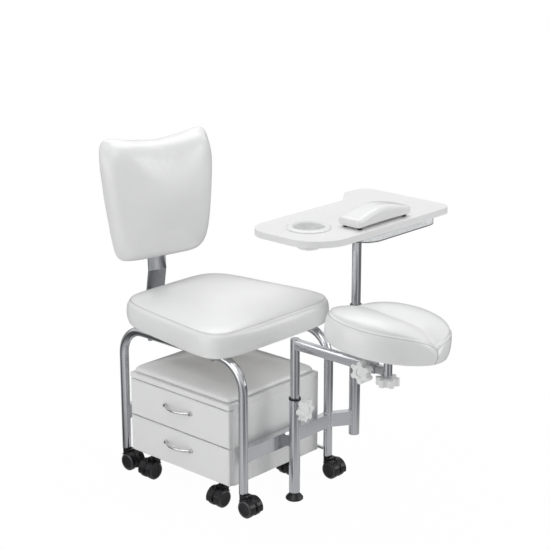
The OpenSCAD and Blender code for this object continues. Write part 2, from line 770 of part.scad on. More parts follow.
// Bow handle: two flared feet and one bent bar between them.
module drawer_handle(i) {
    half = handle_pitch / 2;
    rise = handle_reach - handle_r;
    bow_r = (half * half + rise * rise) / (2 * rise);
    sweep = asin(half / bow_r);
    color("silver") on_floor() translate([stool_x0, stool_mid_y, handle_z(i)]) {
        for (s = [-1, 1]) translate([0, s * half, 0]) rotate([0, -90, 0]) {
            translate([0, 0, -front_t + 2]) cylinder(r = 2, h = front_t, $fn = small_fn);
            cylinder(r1 = handle_r + 3, r2 = handle_r + 0.5, h = 7, $fn = small_fn);
        }
        intersection() {
            translate([bow_r - rise, 0, 0]) rotate([0, 0, 180 - sweep])
                rotate_extrude(angle = 2 * sweep, $fn = 96) translate([bow_r, 0]) circle(r = handle_r, $fn = small_fn);
            translate([-handle_reach - 1, -half - handle_r, -handle_r]) cube([handle_reach + 1, 2 * half + 2 * handle_r, 2 * handle_r]);
        }
    }
}

module upper_drawer_box() { drawer_box(1); }
module upper_drawer_front() { drawer_front(1); }
module upper_drawer_handle() { drawer_handle(1); }
module lower_drawer_box() { drawer_box(0); }
module lower_drawer_front() { drawer_front(0); }
module lower_drawer_handle() { drawer_handle(0); }

collar_plug = 24;

// Black bush on top of a post: a ring that the mast slides through and a plug inside the post.
module post_collar(top) {
    color("black") translate([0, 0, top]) difference() {
        union() {
            cylinder(r = post_r + 1.5, h = collar_h, $fn = round_fn);
            translate([0, 0, -6]) cylinder(r = post_r - tube_wall - run_play, h = 6 + 1, $fn = round_fn);
        }
        translate([0, 0, -7]) cylinder(r = mast_r + run_play, h = collar_h + 8, $fn = round_fn);
    }
}

module foot_post_collar() { on_floor() translate([foot_post_x, foot_post_y, 0]) post_collar(foot_post_top); }
module table_post_collar() { on_floor() translate([table_post_x, table_post_y, 0]) post_collar(table_post_top); }

foot_mast_in = 150;

module foot_arm() {
    low = foot_post_top - foot_mast_in;
    color("silver") on_floor() translate([foot_post_x, foot_post_y, 0]) difference() {
        union() {
            translate([0, 0, low]) tube(mast_r, mast_wall, arm_z + arm_h - low);
            difference() {
                translate([-arm_w / 2, -(foot_post_y - arm_end_y), arm_z]) cube([arm_w, foot_post_y - arm_end_y, arm_h]);
                translate([-arm_w / 2 + arm_wall, -(foot_post_y - arm_end_y) - 1, arm_z + arm_wall])
                    cube([arm_w - 2 * arm_wall, foot_post_y - arm_end_y - mast_r + 1, arm_h - 2 * arm_wall]);
                translate([0, 0, arm_z - 1]) cylinder(r = mast_r - 0.2, h = arm_h + 2, $fn = round_fn);
            }
            translate([-arm_w / 2 - boss_l, arm_knob_y - foot_post_y, arm_knob_z]) rotate([0, 90, 0])
                cylinder(r = boss_r, h = boss_l + arm_wall, $fn = small_fn);
            translate([0, 0, arm_z + arm_h]) cylinder(r = mast_r, h = 1.5, $fn = round_fn);
        }
        translate([-arm_w / 2 - boss_l - 1, arm_knob_y - foot_post_y, arm_knob_z]) rotate([0, 90, 0])
            cylinder(r = stud_d / 2 + run_play, h = boss_l + arm_wall + 2, $fn = small_fn);
    }
}

arm_knob_y = arm_end_y + 16;
arm_knob_z = arm_mid_z - 3;
arm_stud = 12;
star_lobes = 6;

// Star knob with its stud along +Z and its face towards -Z, the stud's end at the origin.
module star_knob(stud) {
    lobe_r = knob_d * 0.15;
    ring_r = knob_d / 2 - lobe_r;
    color("white") {
        translate([0, 0, -stud - knob_t]) difference() {
            linear_extrude(knob_t) difference() {
                union() {
                    circle(r = ring_r + 1, $fn = round_fn);
                    for (i = [0:star_lobes - 1]) rotate(i * 360 / star_lobes) translate([ring_r, 0])
                        circle(r = lobe_r, $fn = small_fn);
                }
                for (i = [0:star_lobes - 1]) rotate((i + 0.5) * 360 / star_lobes) translate([knob_d * 0.47, 0])
                    circle(r = knob_d * 0.13, $fn = small_fn);
            }
            translate([0, 0, -1]) cylinder(r = knob_d * 0.2, h = 5, $fn = round_fn);
        }
        translate([0, 0, -stud - knob_t + 4]) cylinder(r1 = knob_d * 0.14, r2 = knob_d * 0.14, h = 2, $fn = round_fn);
        translate([0, 0, -stud - 1]) cylinder(r = stud_d / 2, h = stud + 1, $fn = small_fn);
    }
}

stud_gap = 1.2;
post_stud = post_r + boss_l + 0.5 - mast_r - stud_gap;

module foot_post_knob() {
    on_floor() translate([foot_post_x, foot_post_y, foot_knob_z]) rotate([0, 0, foot_knob_turn])
        translate([0, -mast_r - stud_gap, 0]) rotate([-90, 0, 0]) star_knob(post_stud);
}

module table_post_knob() {
    on_floor() translate([table_post_x, table_post_y, table_knob_z])
        translate([mast_r + stud_gap, 0, 0]) rotate([0, -90, 0]) star_knob(post_stud);
}

slider_play = 0.5;
slider_w = arm_w - 2 * arm_wall - 2 * slider_play;
slider_h = arm_h - 2 * arm_wall - 2 * slider_play;
slider_in = 150;

module arm_knob() {
    on_floor() translate([foot_post_x - slider_w / 2 - play, arm_knob_y, arm_knob_z])
        rotate([0, 90, 0]) star_knob(boss_l + arm_wall + slider_play + arm_stud);
}

module arm_slider() {
    color("silver") on_floor() translate([foot_post_x, pivot_y, 0]) difference() {
        union() {
            translate([0, 0, sleeve_z]) cylinder(r = sleeve_r, h = sleeve_top - sleeve_z, $fn = round_fn);
            difference() {
                translate([-slider_w / 2, 0, arm_mid_z - slider_h / 2]) cube([slider_w, slider_show + slider_in, slider_h]);
                translate([-slider_w / 2 + 1.5, sleeve_r, arm_mid_z - slider_h / 2 + 1.5])
                    cube([slider_w - 3, slider_show + slider_in, slider_h - 3]);
            }
        }
        translate([0, 0, sleeve_z + 10]) cylinder(r = pivot_d / 2 + run_play, h = sleeve_top - sleeve_z, $fn = round_fn);
        translate([0, 0, sleeve_z - 1]) cylinder(r = stud_d / 2 + run_play, h = 12, $fn = small_fn);
    }
}

footrest_board_r = footrest_r - 30;
stem_low = sleeve_z + 22;

// Children turned with the footrest's lean about the middle of its underside.
module footrest_leaned() {
    translate([foot_post_x + footrest_off[0], pivot_y + footrest_off[1], footrest_z])
        rotate(a = footrest_lean, v = [-sin(footrest_lean_to), cos(footrest_lean_to), 0]) children();
}

// The same turn for a point given from the middle of the footrest's underside.
function footrest_place(p) = let (
    a = [-sin(footrest_lean_to), cos(footrest_lean_to), 0])
    [foot_post_x + footrest_off[0], pivot_y + footrest_off[1], footrest_z] + p * cos(footrest_lean) + cross(a, p) * sin(footrest_lean)
    + a * (a * p) * (1 - cos(footrest_lean));

module footrest_stem() {
    color("silver") on_floor() {
        difference() {
            translate([foot_post_x, pivot_y, stem_low]) cylinder(d = pivot_d, h = footrest_z - stem_low, $fn = round_fn);
            footrest_leaned() translate([-60, -60, -foot_plate_t / 2]) cube([120, 120, 60]);
        }
        footrest_leaned() translate([0, 0, -foot_plate_t]) cylinder(r = 50, h = foot_plate_t, $fn = round_fn);
    }
}

module footrest_board() {
    color("tan") on_floor() footrest_leaned() cylinder(r = footrest_board_r, h = footrest_board_t, $fn = round_fn);
}

// Footrest cushion: a round pad with two raised sides and a valley along Y for the calf.
function footrest_side(t) = cos(t) < 0 ? footrest_side_h : footrest_far_h;
function footrest_rim(t) = footrest_end_h + (footrest_side(t) - footrest_end_h) * (1 - pow(1 - abs(cos(t)), 3.1));
function footrest_point(t, r, share) = footrest_place([r * cos(t), r * sin(t), share * footrest_rim(t)]);
function footrest_top(t, r) = let (x = abs(r * cos(t)) / footrest_r)
    footrest_place([r * cos(t), r * sin(t),
        footrest_end_h - 6 + (footrest_side(t) - footrest_end_h + 6) * (1 - pow(1 - x, 1.7))
        + 31 * (1 - pow(r / footrest_r, 4))]);

module footrest_cushion() {
    roof = footrest_board_t + play;
    recess = footrest_board_r + play;
    color("white") on_floor() skin(concat(
        [for (z = [roof, 0]) [for (t = footrest_turns) footrest_place([recess * cos(t), recess * sin(t), z])]],
        [for (s = footrest_wall) [for (t = footrest_turns) footrest_point(t, footrest_r - s[0], s[1])]],
        [for (r = [footrest_r - 13, footrest_r - 30, footrest_r * 0.62, footrest_r * 0.4, footrest_r * 0.18])
            [for (t = footrest_turns) footrest_top(t, r)]]
    ), footrest_place([0, 0, roof]), footrest_place([0, 0, footrest_end_h + 25]));
}

module footrest_knob() {
    on_floor() translate([foot_post_x, pivot_y, stem_low - play]) star_knob(stem_low - play - sleeve_z + play);
}

table_mast_in = 190;

module table_post_mast() {
    low = table_post_top - table_mast_in;
    color("silver") on_floor() translate([table_post_x, table_post_y, 0]) {
        translate([0, 0, low]) tube(mast_r, mast_wall, table_z - table_t - low);
        difference() {
            translate([0, 0, table_z - table_t - flange_t]) cylinder(r = 42, h = flange_t, $fn = round_fn);
            translate([0, 0, table_z - table_t - flange_t - 1]) cylinder(r = mast_r - 0.2, h = flange_t + 2, $fn = round_fn);
        }
    }
}

table_corner_r = 40;

// What a round corner takes away: the square corner at the origin less its circle.
module corner_cut(r) {
    difference() {
        translate([-1, -1]) square([r + 1, r + 1]);
        translate([r, r]) circle(r = r, $fn = 96);
    }
}

// Table outline: a round end at the left, a deeper square end at the right, joined by a slanted step.
module table_outline() {
    deep = table_d + table_step;
    step_x = table_l * 0.72;
    difference() {
        square([table_l, deep]);
        polygon([[-1, table_d], [step_x, table_d], [step_x + table_step * 1.3, deep],
            [step_x + table_step * 1.3, deep + 1], [-1, deep + 1]]);
        corner_cut(table_end_r);
        translate([0, table_d]) rotate(-90) corner_cut(table_back_r);
        translate([table_l, 0]) rotate(90) corner_cut(table_corner_r);
        translate([table_l, deep]) rotate(180) corner_cut(table_corner_r);
        translate([bowl_x - table_x0, bowl_y - table_y0]) circle(r = bowl_d / 2 + 3, $fn = round_fn);
    }
}

module table_top() {
    color("white") on_floor() translate([table_x0, table_y0, table_z - table_t])
        linear_extrude(table_t) table_outline();
}

// Finger bowl: a dished cup with a broad rolled rim that lies on the table.
module finger_bowl() {
    r = bowl_d / 2;
    rim = bowl_rim_d / 2;
    floor_r = r - 14;
    base = table_z + 6 - bowl_depth;
    color("white") on_floor() translate([bowl_x, bowl_y, 0]) rotate_extrude($fn = round_fn) polygon([
        [0, base], [floor_r, base], [r - 4, base + 12], [r + 2, table_z - 8], [r + 2, table_z + play],
        [rim, table_z + play], [rim, table_z + 3], [rim - 5, table_z + 6], [r + 3, table_z + 6],
        [r, table_z + 3], [r - 1, table_z - 10], [r - 7, base + 12], [floor_r - 2, base + 2.5], [0, base + 2.5]]);
}

// Hand rest: an arched pad, highest in the middle of its length.
function hand_rest_ring(s, n) = let (
    x = s * hand_rest_l / 2,
    h = 28 + 21 * pow(cos(80 * s), 1.4),
    half = hand_rest_w / 2 - 2.5 * (1 - s * s))
    [for (i = [0:n - 1]) let (t = 360 * (i + 0.5) / n - 90,
        ey = sgn_pow(cos(t), 0.42), ez = sgn_pow(sin(t), 0.5))
        [hand_rest_x + x, hand_rest_y + ey * half, table_z + 5 + (ez + 1) / 2 * (h - 5)]];

module hand_rest() {
    n = 28;
    color("white") on_floor() {
        skin([for (k = [-8:8]) hand_rest_ring(k / 8, n)],
            [hand_rest_x - hand_rest_l / 2, hand_rest_y, table_z + 16],
            [hand_rest_x + hand_rest_l / 2, hand_rest_y, table_z + 16]);
        for (sx = [-1, 1]) for (sy = [-1, 1])
            translate([hand_rest_x + sx * (hand_rest_l / 2 - 16), hand_rest_y + sy * (hand_rest_w / 2 - 14), table_z])
                cylinder(r = 7, h = 8, $fn = small_fn);
    }
}

tray_hub_r = mast_r + 5;

module tray_plan(r) {
    for (x = [r, tray_l - r]) for (y = [r, tray_w - r]) translate([x, y]) circle(r = r, $fn = round_fn);
    translate([r, 0]) square([tray_l - 2 * r, tray_w]);
    translate([0, r]) square([tray_l, tray_w - 2 * r]);
}

module tray() {
    corner = 60;
    scale_x = (tray_l - 2 * tray_wall) / tray_l;
    color("white") on_floor() difference() {
        union() {
            translate([tray_x0, tray_y0, tray_top - tray_h]) difference() {
                linear_extrude(tray_h) tray_plan(corner);
                translate([tray_wall, tray_wall, tray_wall]) linear_extrude(tray_h) tray_inside(corner);
            }
            translate([table_post_x, table_post_y, tray_top - tray_h]) cylinder(r = tray_hub_r, h = tray_h - 2, $fn = round_fn);
        }
        translate([table_post_x, table_post_y, tray_top - tray_h - 1])
            cylinder(r = mast_r + run_play, h = tray_h + 2, $fn = round_fn);
    }
}

module tray_inside(corner) {
    r = corner - tray_wall;
    l = tray_l - 2 * tray_wall;
    w = tray_w - 2 * tray_wall;
    for (x = [r, l - r]) for (y = [r, w - r]) translate([x, y]) circle(r = r, $fn = round_fn);
    translate([r, 0]) square([l - 2 * r, w]);
    translate([0, r]) square([l, w - 2 * r]);
}

// Clamp ring on the mast that carries the tray's hub.
module tray_collar() {
    color("silver") on_floor() translate([table_post_x, table_post_y, tray_top - tray_h - play - 10]) difference() {
        cylinder(r = tray_hub_r, h = 10, $fn = round_fn);
        translate([0, 0, -1]) cylinder(r = mast_r, h = 12, $fn = round_fn);
    }
}

left_leg_frame();
right_leg_frame();
front_bar();
rear_bar();
side_bar();
table_bracket_bar();
foot_post_tube();
table_post_tube();
leg_sockets();
seat_board();
seat_cushion();
fasteners();
back_bracket();
backrest_board();
backrest_cushion();
levelling_foot();
caster_fl_housing();
caster_fl_wheels();
caster_fr_housing();
caster_fr_wheels();
caster_rl_housing();
caster_rl_wheels();
caster_rr_housing();
caster_rr_wheels();
stool_cabinet();
stool_top_panel();
stool_cushion();
stool_runners();
stool_sockets();
stool_caster_fl_housing();
stool_caster_fl_wheels();
stool_caster_fr_housing();
stool_caster_fr_wheels();
stool_caster_rl_housing();
stool_caster_rl_wheels();
stool_caster_rr_housing();
stool_caster_rr_wheels();
upper_drawer_box();
upper_drawer_front();
upper_drawer_handle();
lower_drawer_box();
lower_drawer_front();
lower_drawer_handle();
foot_post_collar();
foot_arm();
foot_post_knob();
arm_slider();
arm_knob();
footrest_stem();
footrest_board();
footrest_cushion();
footrest_knob();
table_post_collar();
table_post_mast();
table_post_knob();
table_top();
tray();
tray_collar();
finger_bowl();
hand_rest();
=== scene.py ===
# %% [markdown]
# # A working chair for manicure and pedicure
#
# The chair stands on casters, a drawer stool parks under its seat, and two masts on its front carry a
# footrest and a manicure table. The construction is fixed: every hard piece arrives at its real size and
# in its real place. This lesson dresses it: upholstery with seams, plated tube with weld beads,
# laminated board, moulded plastic, and a plain studio.

# %% Load the frame
import bpy
import bmesh
import json
import math
from mathutils import Matrix, Vector
from mathutils.kdtree import KDTree


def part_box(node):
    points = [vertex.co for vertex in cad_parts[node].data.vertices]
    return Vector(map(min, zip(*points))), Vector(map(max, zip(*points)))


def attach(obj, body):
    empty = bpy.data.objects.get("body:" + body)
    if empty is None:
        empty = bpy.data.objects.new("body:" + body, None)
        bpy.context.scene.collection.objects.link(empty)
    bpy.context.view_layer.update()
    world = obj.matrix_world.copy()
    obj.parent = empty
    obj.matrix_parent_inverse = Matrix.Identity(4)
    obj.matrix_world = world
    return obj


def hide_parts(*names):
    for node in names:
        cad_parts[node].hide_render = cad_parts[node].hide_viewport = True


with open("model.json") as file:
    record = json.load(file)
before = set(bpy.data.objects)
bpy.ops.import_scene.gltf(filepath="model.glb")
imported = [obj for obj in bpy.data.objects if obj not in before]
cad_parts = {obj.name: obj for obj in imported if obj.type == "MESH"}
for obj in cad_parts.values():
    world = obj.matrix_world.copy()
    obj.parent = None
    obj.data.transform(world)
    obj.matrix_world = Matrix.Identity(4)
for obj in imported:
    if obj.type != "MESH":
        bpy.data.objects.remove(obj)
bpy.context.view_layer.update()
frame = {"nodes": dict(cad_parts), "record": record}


def middle(node):
    """The middle of a node's box, its lowest corner and its highest corner."""
    low, high = (Vector(corner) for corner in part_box(node))
    return (low + high) / 2, low, high


FRONT_BAR = middle("front_bar")[0]
REAR_BAR = middle("rear_bar")[0]
CHAIR = Vector((FRONT_BAR.x, (FRONT_BAR.y + REAR_BAR.y) / 2, 0))

# %% [markdown]
# ## The camera
#
# The chair is seen from its right front, a little from above, through a long lens, so upright tubes stay
# nearly parallel. The camera's place is given from the middle of the chair, its direction as two turns.

# %% Camera
CAMERA_AWAY = 4.0141
CAMERA_ROUND = math.radians(-45.52)
CAMERA_UP = 1.7981
CAMERA_SWING = math.radians(1.94)
CAMERA_DOWN = math.radians(16.94)
LENS = 101.06


def set_camera():
    """Adds the camera and makes it the scene's own."""
    data = bpy.data.cameras.new("camera")
    data.lens = LENS
    data.sensor_width = 36
    data.clip_end = 50
    camera = bpy.data.objects.new("camera", data)
    bpy.context.scene.collection.objects.link(camera)
    camera.location = CHAIR + Vector((CAMERA_AWAY * math.sin(CAMERA_ROUND),
                                      -CAMERA_AWAY * math.cos(CAMERA_ROUND), CAMERA_UP))
    camera.rotation_euler = (math.radians(90) - CAMERA_DOWN, 0, CAMERA_ROUND - CAMERA_SWING)
    bpy.context.scene.camera = camera
    return camera


camera = set_camera()
print("camera at", [round(v, 3) for v in camera.location])

# %% [markdown]
# ## Making materials
#
# Every finish here is one Principled shader with a few texture nodes in front of it. A small helper adds
# nodes and links them, so that each material's own function shows only what matters: which pattern, how
# large, and which socket it drives. Constant values go straight on the shader. The same helper builds the
# geometry nodes and the studio further down.

# %% Node helpers


def new_material(name, **values):
    """Makes a material with a Principled shader and sets its constant sockets."""
    material = bpy.data.materials.new(name)
    material.use_nodes = True
    shader = material.node_tree.nodes["Principled BSDF"]
    for socket, value in values.items():
        shader.inputs[socket.replace("_", " ")].default_value = value
    return material, shader


def is_socket(value):
    return isinstance(value, bpy.types.NodeSocket)


def add(owner, kind, inputs=None, **settings):
    """Adds a node to a material, a world or a bare tree, with its settings, input values and links."""
    tree = getattr(owner, "node_tree", owner)
    node = tree.nodes.new(kind)
    for key, value in settings.items():
        setattr(node, key, value)
    for key, value in (inputs or {}).items():
        if is_socket(value):
            tree.links.new(value, node.inputs[key])
        else:
            node.inputs[key].default_value = value
    return node


def link(material, output, socket):
    material.node_tree.links.new(output, socket)


def object_place(material, scale=(1, 1, 1)):
    """Object coordinates through a Mapping node: a vector in metres, stretched by the scale."""
    place = add(material, "ShaderNodeTexCoord")
    return add(material, "ShaderNodeMapping", {"Vector": place.outputs["Object"], "Scale": scale}).outputs[0]


def noise(material, vector, scale, detail=3.0, rough=0.5):
    return add(material, "ShaderNodeTexNoise",
               {"Vector": vector, "Scale": scale, "Detail": detail, "Roughness": rough}).outputs["Fac"]


def remap(owner, value, low, high, start=0.0, end=1.0):
    """Maps a value from start..end to low..high."""
    return add(owner, "ShaderNodeMapRange", {"Value": value, "From Min": start, "From Max": end,
                                             "To Min": low, "To Max": high}).outputs[0]


def two_tone(owner, value, first, second):
    """Mixes two colours by a value. Each is a colour or a socket."""
    first, second = (side if is_socket(side) else (*side, 1) for side in (first, second))
    return add(owner, "ShaderNodeMix", {0: value, 6: first, 7: second}, data_type="RGBA").outputs[2]


def bump(material, shader, height, strength, distance):
    node = add(material, "ShaderNodeBump", {"Height": height, "Strength": strength, "Distance": distance})
    link(material, node.outputs[0], shader.inputs["Normal"])


# %% [markdown]
# ## White upholstery
#
# The covers are coated cloth: a fine pebbled grain about a millimetre across, a soft sheen, and a colour
# that is very slightly warmer and duller in the low places. Cells from a Voronoi texture give the pebbles
# and a finer noise breaks them up.

# %% White upholstery


def white_leather():
    material, shader = new_material("white_leather", Roughness=0.36, Coat_Weight=0.50, Coat_Roughness=0.17)
    place = object_place(material)
    cells = add(material, "ShaderNodeTexVoronoi", {"Vector": place, "Scale": 620.0},
                feature="DISTANCE_TO_EDGE").outputs["Distance"]
    pebble = remap(material, cells, 0, 1, 0, 0.35)
    fine = noise(material, place, 1500, 2)
    both = add(material, "ShaderNodeMath", {0: pebble, 1: fine}, operation="ADD").outputs[0]
    bump(material, shader, both, 0.12, 0.0004)
    broad = noise(material, place, 9, 4)
    colour = two_tone(material, broad, (0.86, 0.86, 0.855), (0.90, 0.90, 0.897))
    link(material, colour, shader.inputs["Base Color"])
    link(material, remap(material, broad, 0.30, 0.44), shader.inputs["Roughness"])
    return material


WHITE_LEATHER = white_leather()
print("made", WHITE_LEATHER.name)

# %% [markdown]
# ## Plated tube
#
# The frame is bright plated steel. A drawn tube keeps faint lines along its length and a few dull
# patches where hands and feet touch it, so its roughness changes slowly and it has a very fine bump.

# %% Plated metal


def metal(name, colour, rough_low, rough_high, grain=(60, 60, 8)):
    material, shader = new_material(name, Metallic=1.0)
    place = object_place(material, grain)
    streaks = noise(material, place, 3, 5, 0.6)
    patches = noise(material, object_place(material), 14, 3)
    link(material, remap(material, streaks, rough_low, rough_high, 0.3, 0.7), shader.inputs["Roughness"])
    dull = tuple(0.9 * part for part in colour)
    link(material, two_tone(material, patches, dull, colour), shader.inputs["Base Color"])
    bump(material, shader, streaks, 0.05, 0.0002)
    return material


PLATED_TUBE = metal("plated_tube", (0.60, 0.61, 0.63), 0.12, 0.22)
SATIN_STEEL = metal("satin_steel", (0.42, 0.43, 0.45), 0.25, 0.38, (20, 20, 20))
HANDLE_CHROME = metal("handle_chrome", (0.62, 0.62, 0.63), 0.08, 0.16, (30, 30, 30))
print("made", PLATED_TUBE.name, SATIN_STEEL.name, HANDLE_CHROME.name)

# %% [markdown]
# ## Laminated board
#
# The stool and the table are board with a white melamine face: nearly smooth, with an orange-peel
# waviness that only shows in reflections.

# %% Laminated board


def board():
    material, shader = new_material("white_board", Roughness=0.3)
    place = object_place(material)
    peel = noise(material, place, 260, 2)
    bump(material, shader, peel, 0.05, 0.0003)
    broad = noise(material, place, 5, 3)
    colour = two_tone(material, broad, (0.87, 0.87, 0.863), (0.905, 0.905, 0.90))
    link(material, colour, shader.inputs["Base Color"])
    link(material, remap(material, broad, 0.24, 0.36), shader.inputs["Roughness"])
    return material


def bare_plywood():
    material, shader = new_material("bare_plywood", Roughness=0.7)
    place = object_place(material, (6, 60, 60))
    rings = noise(material, place, 4, 6, 0.6)
    colour = two_tone(material, rings, (0.74, 0.725, 0.69), (0.83, 0.82, 0.80))
    link(material, colour, shader.inputs["Base Color"])
    bump(material, shader, rings, 0.2, 0.0004)
    return material


WHITE_BOARD = board()
BARE_PLYWOOD = bare_plywood()
print("made", WHITE_BOARD.name, BARE_PLYWOOD.name)

# %% [markdown]
# ## Moulded plastics
#
# Casters, sockets and the levelling foot are black, the wheels a little softer and duller, with a paler
# tread that is partly painted highlight. The star knobs are milky: light goes some way into them, which
# subsurface scattering gives. The bowl is dense white.

# %% Moulded plastics
GLOW_DEPTH = 0.006


def plastic(name, low, high, rough, subsurface=0.0, transmission=0.0, grain=500, gloss=0.5):
    material, shader = new_material(name, Subsurface_Weight=subsurface, Transmission_Weight=transmission,
                                    Specular_IOR_Level=gloss)
    if subsurface:
        shader.inputs["Subsurface Radius"].default_value = (GLOW_DEPTH, GLOW_DEPTH, GLOW_DEPTH)
    place = object_place(material)
    texture = noise(material, place, grain, 2)
    cloud = noise(material, place, 22, 3)
    link(material, two_tone(material, cloud, low, high), shader.inputs["Base Color"])
    link(material, remap(material, cloud, rough - 0.05, rough + 0.07), shader.inputs["Roughness"])
    bump(material, shader, texture, 0.06, 0.0002)
    return material


BLACK_PLASTIC = plastic("black_plastic", (0.012, 0.012, 0.013), (0.022, 0.022, 0.024), 0.28, gloss=0.35)
CASTER_BLACK = plastic("caster_black", (0.010, 0.010, 0.012), (0.018, 0.018, 0.020), 0.20, gloss=0.25)
# The tread is paler partly as painted highlight: a grey ring that stands in for light caught on the wheel's rim.
CASTER_TREAD_AND_HIGHLIGHT = plastic("caster_tread_and_highlight", (0.045, 0.045, 0.048), (0.060, 0.060, 0.064), 0.34)
MILKY_PLASTIC = plastic("milky_plastic", (0.93, 0.94, 0.93), (0.96, 0.97, 0.96), 0.30, subsurface=0.35)
WHITE_PLASTIC = plastic("white_plastic", (0.86, 0.86, 0.86), (0.90, 0.90, 0.90), 0.22)
CLEAR_PLASTIC = plastic("clear_plastic", (0.93, 0.94, 0.945), (0.96, 0.97, 0.975), 0.10, transmission=0.96)
print("made six plastics")

# %% [markdown]
# ## Finishes on the hard pieces
#
# A hard piece keeps its solid and only gets a finish, so one table from finish to node names is enough.

# %% Dress the hard pieces
CORNERS = ("fl", "fr", "rl", "rr")
CASTERS = ["caster_" + corner for corner in CORNERS] + ["stool_caster_" + corner for corner in CORNERS]
# Each row: the finish, and the nodes that get it.
FINISHES = (
    (PLATED_TUBE, ["left_leg_frame", "right_leg_frame", "front_bar", "rear_bar", "side_bar",
                   "table_bracket_bar", "foot_post_tube", "table_post_tube", "foot_arm", "arm_slider",
                   "footrest_stem", "table_post_mast", "tray_collar"]),
    (SATIN_STEEL, ["fasteners", "back_bracket", "stool_runners"]),
    (HANDLE_CHROME, ["upper_drawer_handle", "lower_drawer_handle"]),
    (WHITE_BOARD, ["stool_cabinet", "stool_top_panel", "upper_drawer_box", "upper_drawer_front",
                   "lower_drawer_box", "lower_drawer_front", "table_top"]),
    (BARE_PLYWOOD, ["seat_board", "backrest_board", "footrest_board"]),
    (BLACK_PLASTIC, ["leg_sockets", "stool_sockets", "levelling_foot", "foot_post_collar", "table_post_collar"]),
    (CASTER_BLACK, [name + "_housing" for name in CASTERS]),
    (CASTER_TREAD_AND_HIGHLIGHT, [name + "_wheels" for name in CASTERS]),
    (MILKY_PLASTIC, ["foot_post_knob", "arm_knob", "footrest_knob", "table_post_knob"]),
    (WHITE_PLASTIC, ["finger_bowl"]),
    (CLEAR_PLASTIC, ["tray"]),
)


def dress(node, material):
    """Gives a node's object one material."""
    mesh = frame["nodes"][node].data
    mesh.materials.clear()
    mesh.materials.append(material)
    for polygon in mesh.polygons:
        polygon.material_index = 0


for material, nodes in FINISHES:
    for node in nodes:
        dress(node, material)
print("dressed", sum(len(nodes) for _, nodes in FINISHES), "nodes")

# %% [markdown]
# ## Eased edges
#
# Laminated board and rectangular tube never have a razor edge: the band is filed, the tube is drawn
# over a radius. A copy of the node gets its doubled corners merged, its long outer edges marked, and a
# Bevel modifier that rounds only those. The two boards of the stool's lid and the drawer fronts then show
# a fine shadow line where they meet.

# %% Ease the edges of boards and bars
BODY_OF = {node: body for body, nodes in frame["record"]["behaviour"]["bodies"].items() for node in nodes}
# Each row: the width of the rounding, the shortest edge that gets it, and the nodes.
EASED = (
    (0.0012, 0.004, ["stool_cabinet", "stool_top_panel", "table_top"]),
    (0.0008, 0.012, ["upper_drawer_front", "lower_drawer_front"]),
    (0.0014, 0.030, ["front_bar", "rear_bar", "table_bracket_bar", "foot_arm", "arm_slider"]),
    (0.0006, 0.010, ["back_bracket"]),
)
SHARP_ANGLE = 0.6
SAME_PLACE = 2e-6


def is_sharp(edge):
    return len(edge.link_faces) == 2 and edge.calc_face_angle(0) > SHARP_ANGLE


def merged_copy(node, ending, shortest=None):
    """A copy of a node with its doubled corners merged. Outer edges longer than the shortest get a weight."""
    mesh = frame["nodes"][node].data.copy()
    mesh.name = node + ending
    shape = bmesh.new()
    shape.from_mesh(mesh)
    bmesh.ops.remove_doubles(shape, verts=shape.verts, dist=SAME_PLACE)
    if shortest:
        weight = shape.edges.layers.float.new("bevel_weight_edge")
        for edge in shape.edges:
            if is_sharp(edge) and edge.is_convex and edge.calc_length() > shortest:
                edge[weight] = 1
    shape.to_mesh(mesh)
    shape.free()
    shade_by_angle(mesh)
    piece = bpy.data.objects.new(node + ending, mesh)
    bpy.context.scene.collection.objects.link(piece)
    return piece


def shade_by_angle(mesh):
    """Smooth faces, with hard edges where two of them meet at an angle."""
    shape = bmesh.new()
    shape.from_mesh(mesh)
    for edge in shape.edges:
        edge.smooth = not is_sharp(edge)
    for face in shape.faces:
        face.smooth = True
    shape.to_mesh(mesh)
    shape.free()


def eased_copy(node, width, shortest):
    """A copy of a node whose outer edges longer than the shortest are rounded over by the width."""
    piece = merged_copy(node, "_eased", shortest)
    bevel = piece.modifiers.new("ease", "BEVEL")
    bevel.limit_method = "WEIGHT"
    bevel.width = width
    bevel.segments = 2
    bevel.harden_normals = True
    apply_modifiers(piece)
    return piece


def apply_modifiers(obj):
    """Replaces an object's mesh by what its modifiers make of it."""
    graph = bpy.context.evaluated_depsgraph_get()
    made = bpy.data.meshes.new_from_object(obj.evaluated_get(graph))
    old = obj.data
    obj.modifiers.clear()
    obj.data = made
    bpy.data.meshes.remove(old)


def stand_in(piece, node):
    """Shows a piece in the place of a node, on the node's body."""
    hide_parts(node)
    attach(piece, BODY_OF[node])


for width, shortest, nodes in EASED:
    for node in nodes:
        stand_in(eased_copy(node, width, shortest), node)
print("eased", sum(len(nodes) for _, _, nodes in EASED), "nodes")

# %% [markdown]
# ## Casters
#
# The hood of a twin caster is moulded as two fenders with a valley between them. A V-shaped band round the
# axle cuts that valley. The wheels are black with a slightly paler tread, which shows as a ring; the
# ring is partly painted highlight, standing in for light caught on the rim.

# %% Casters
VALLEY_TIP = 0.0236
VALLEY_RIM = 0.0300
VALLEY_HALF = 0.0062
VALLEY_TURNS = range(3, 121, 3)
TREAD_AND_HIGHLIGHT_FROM = 0.0180


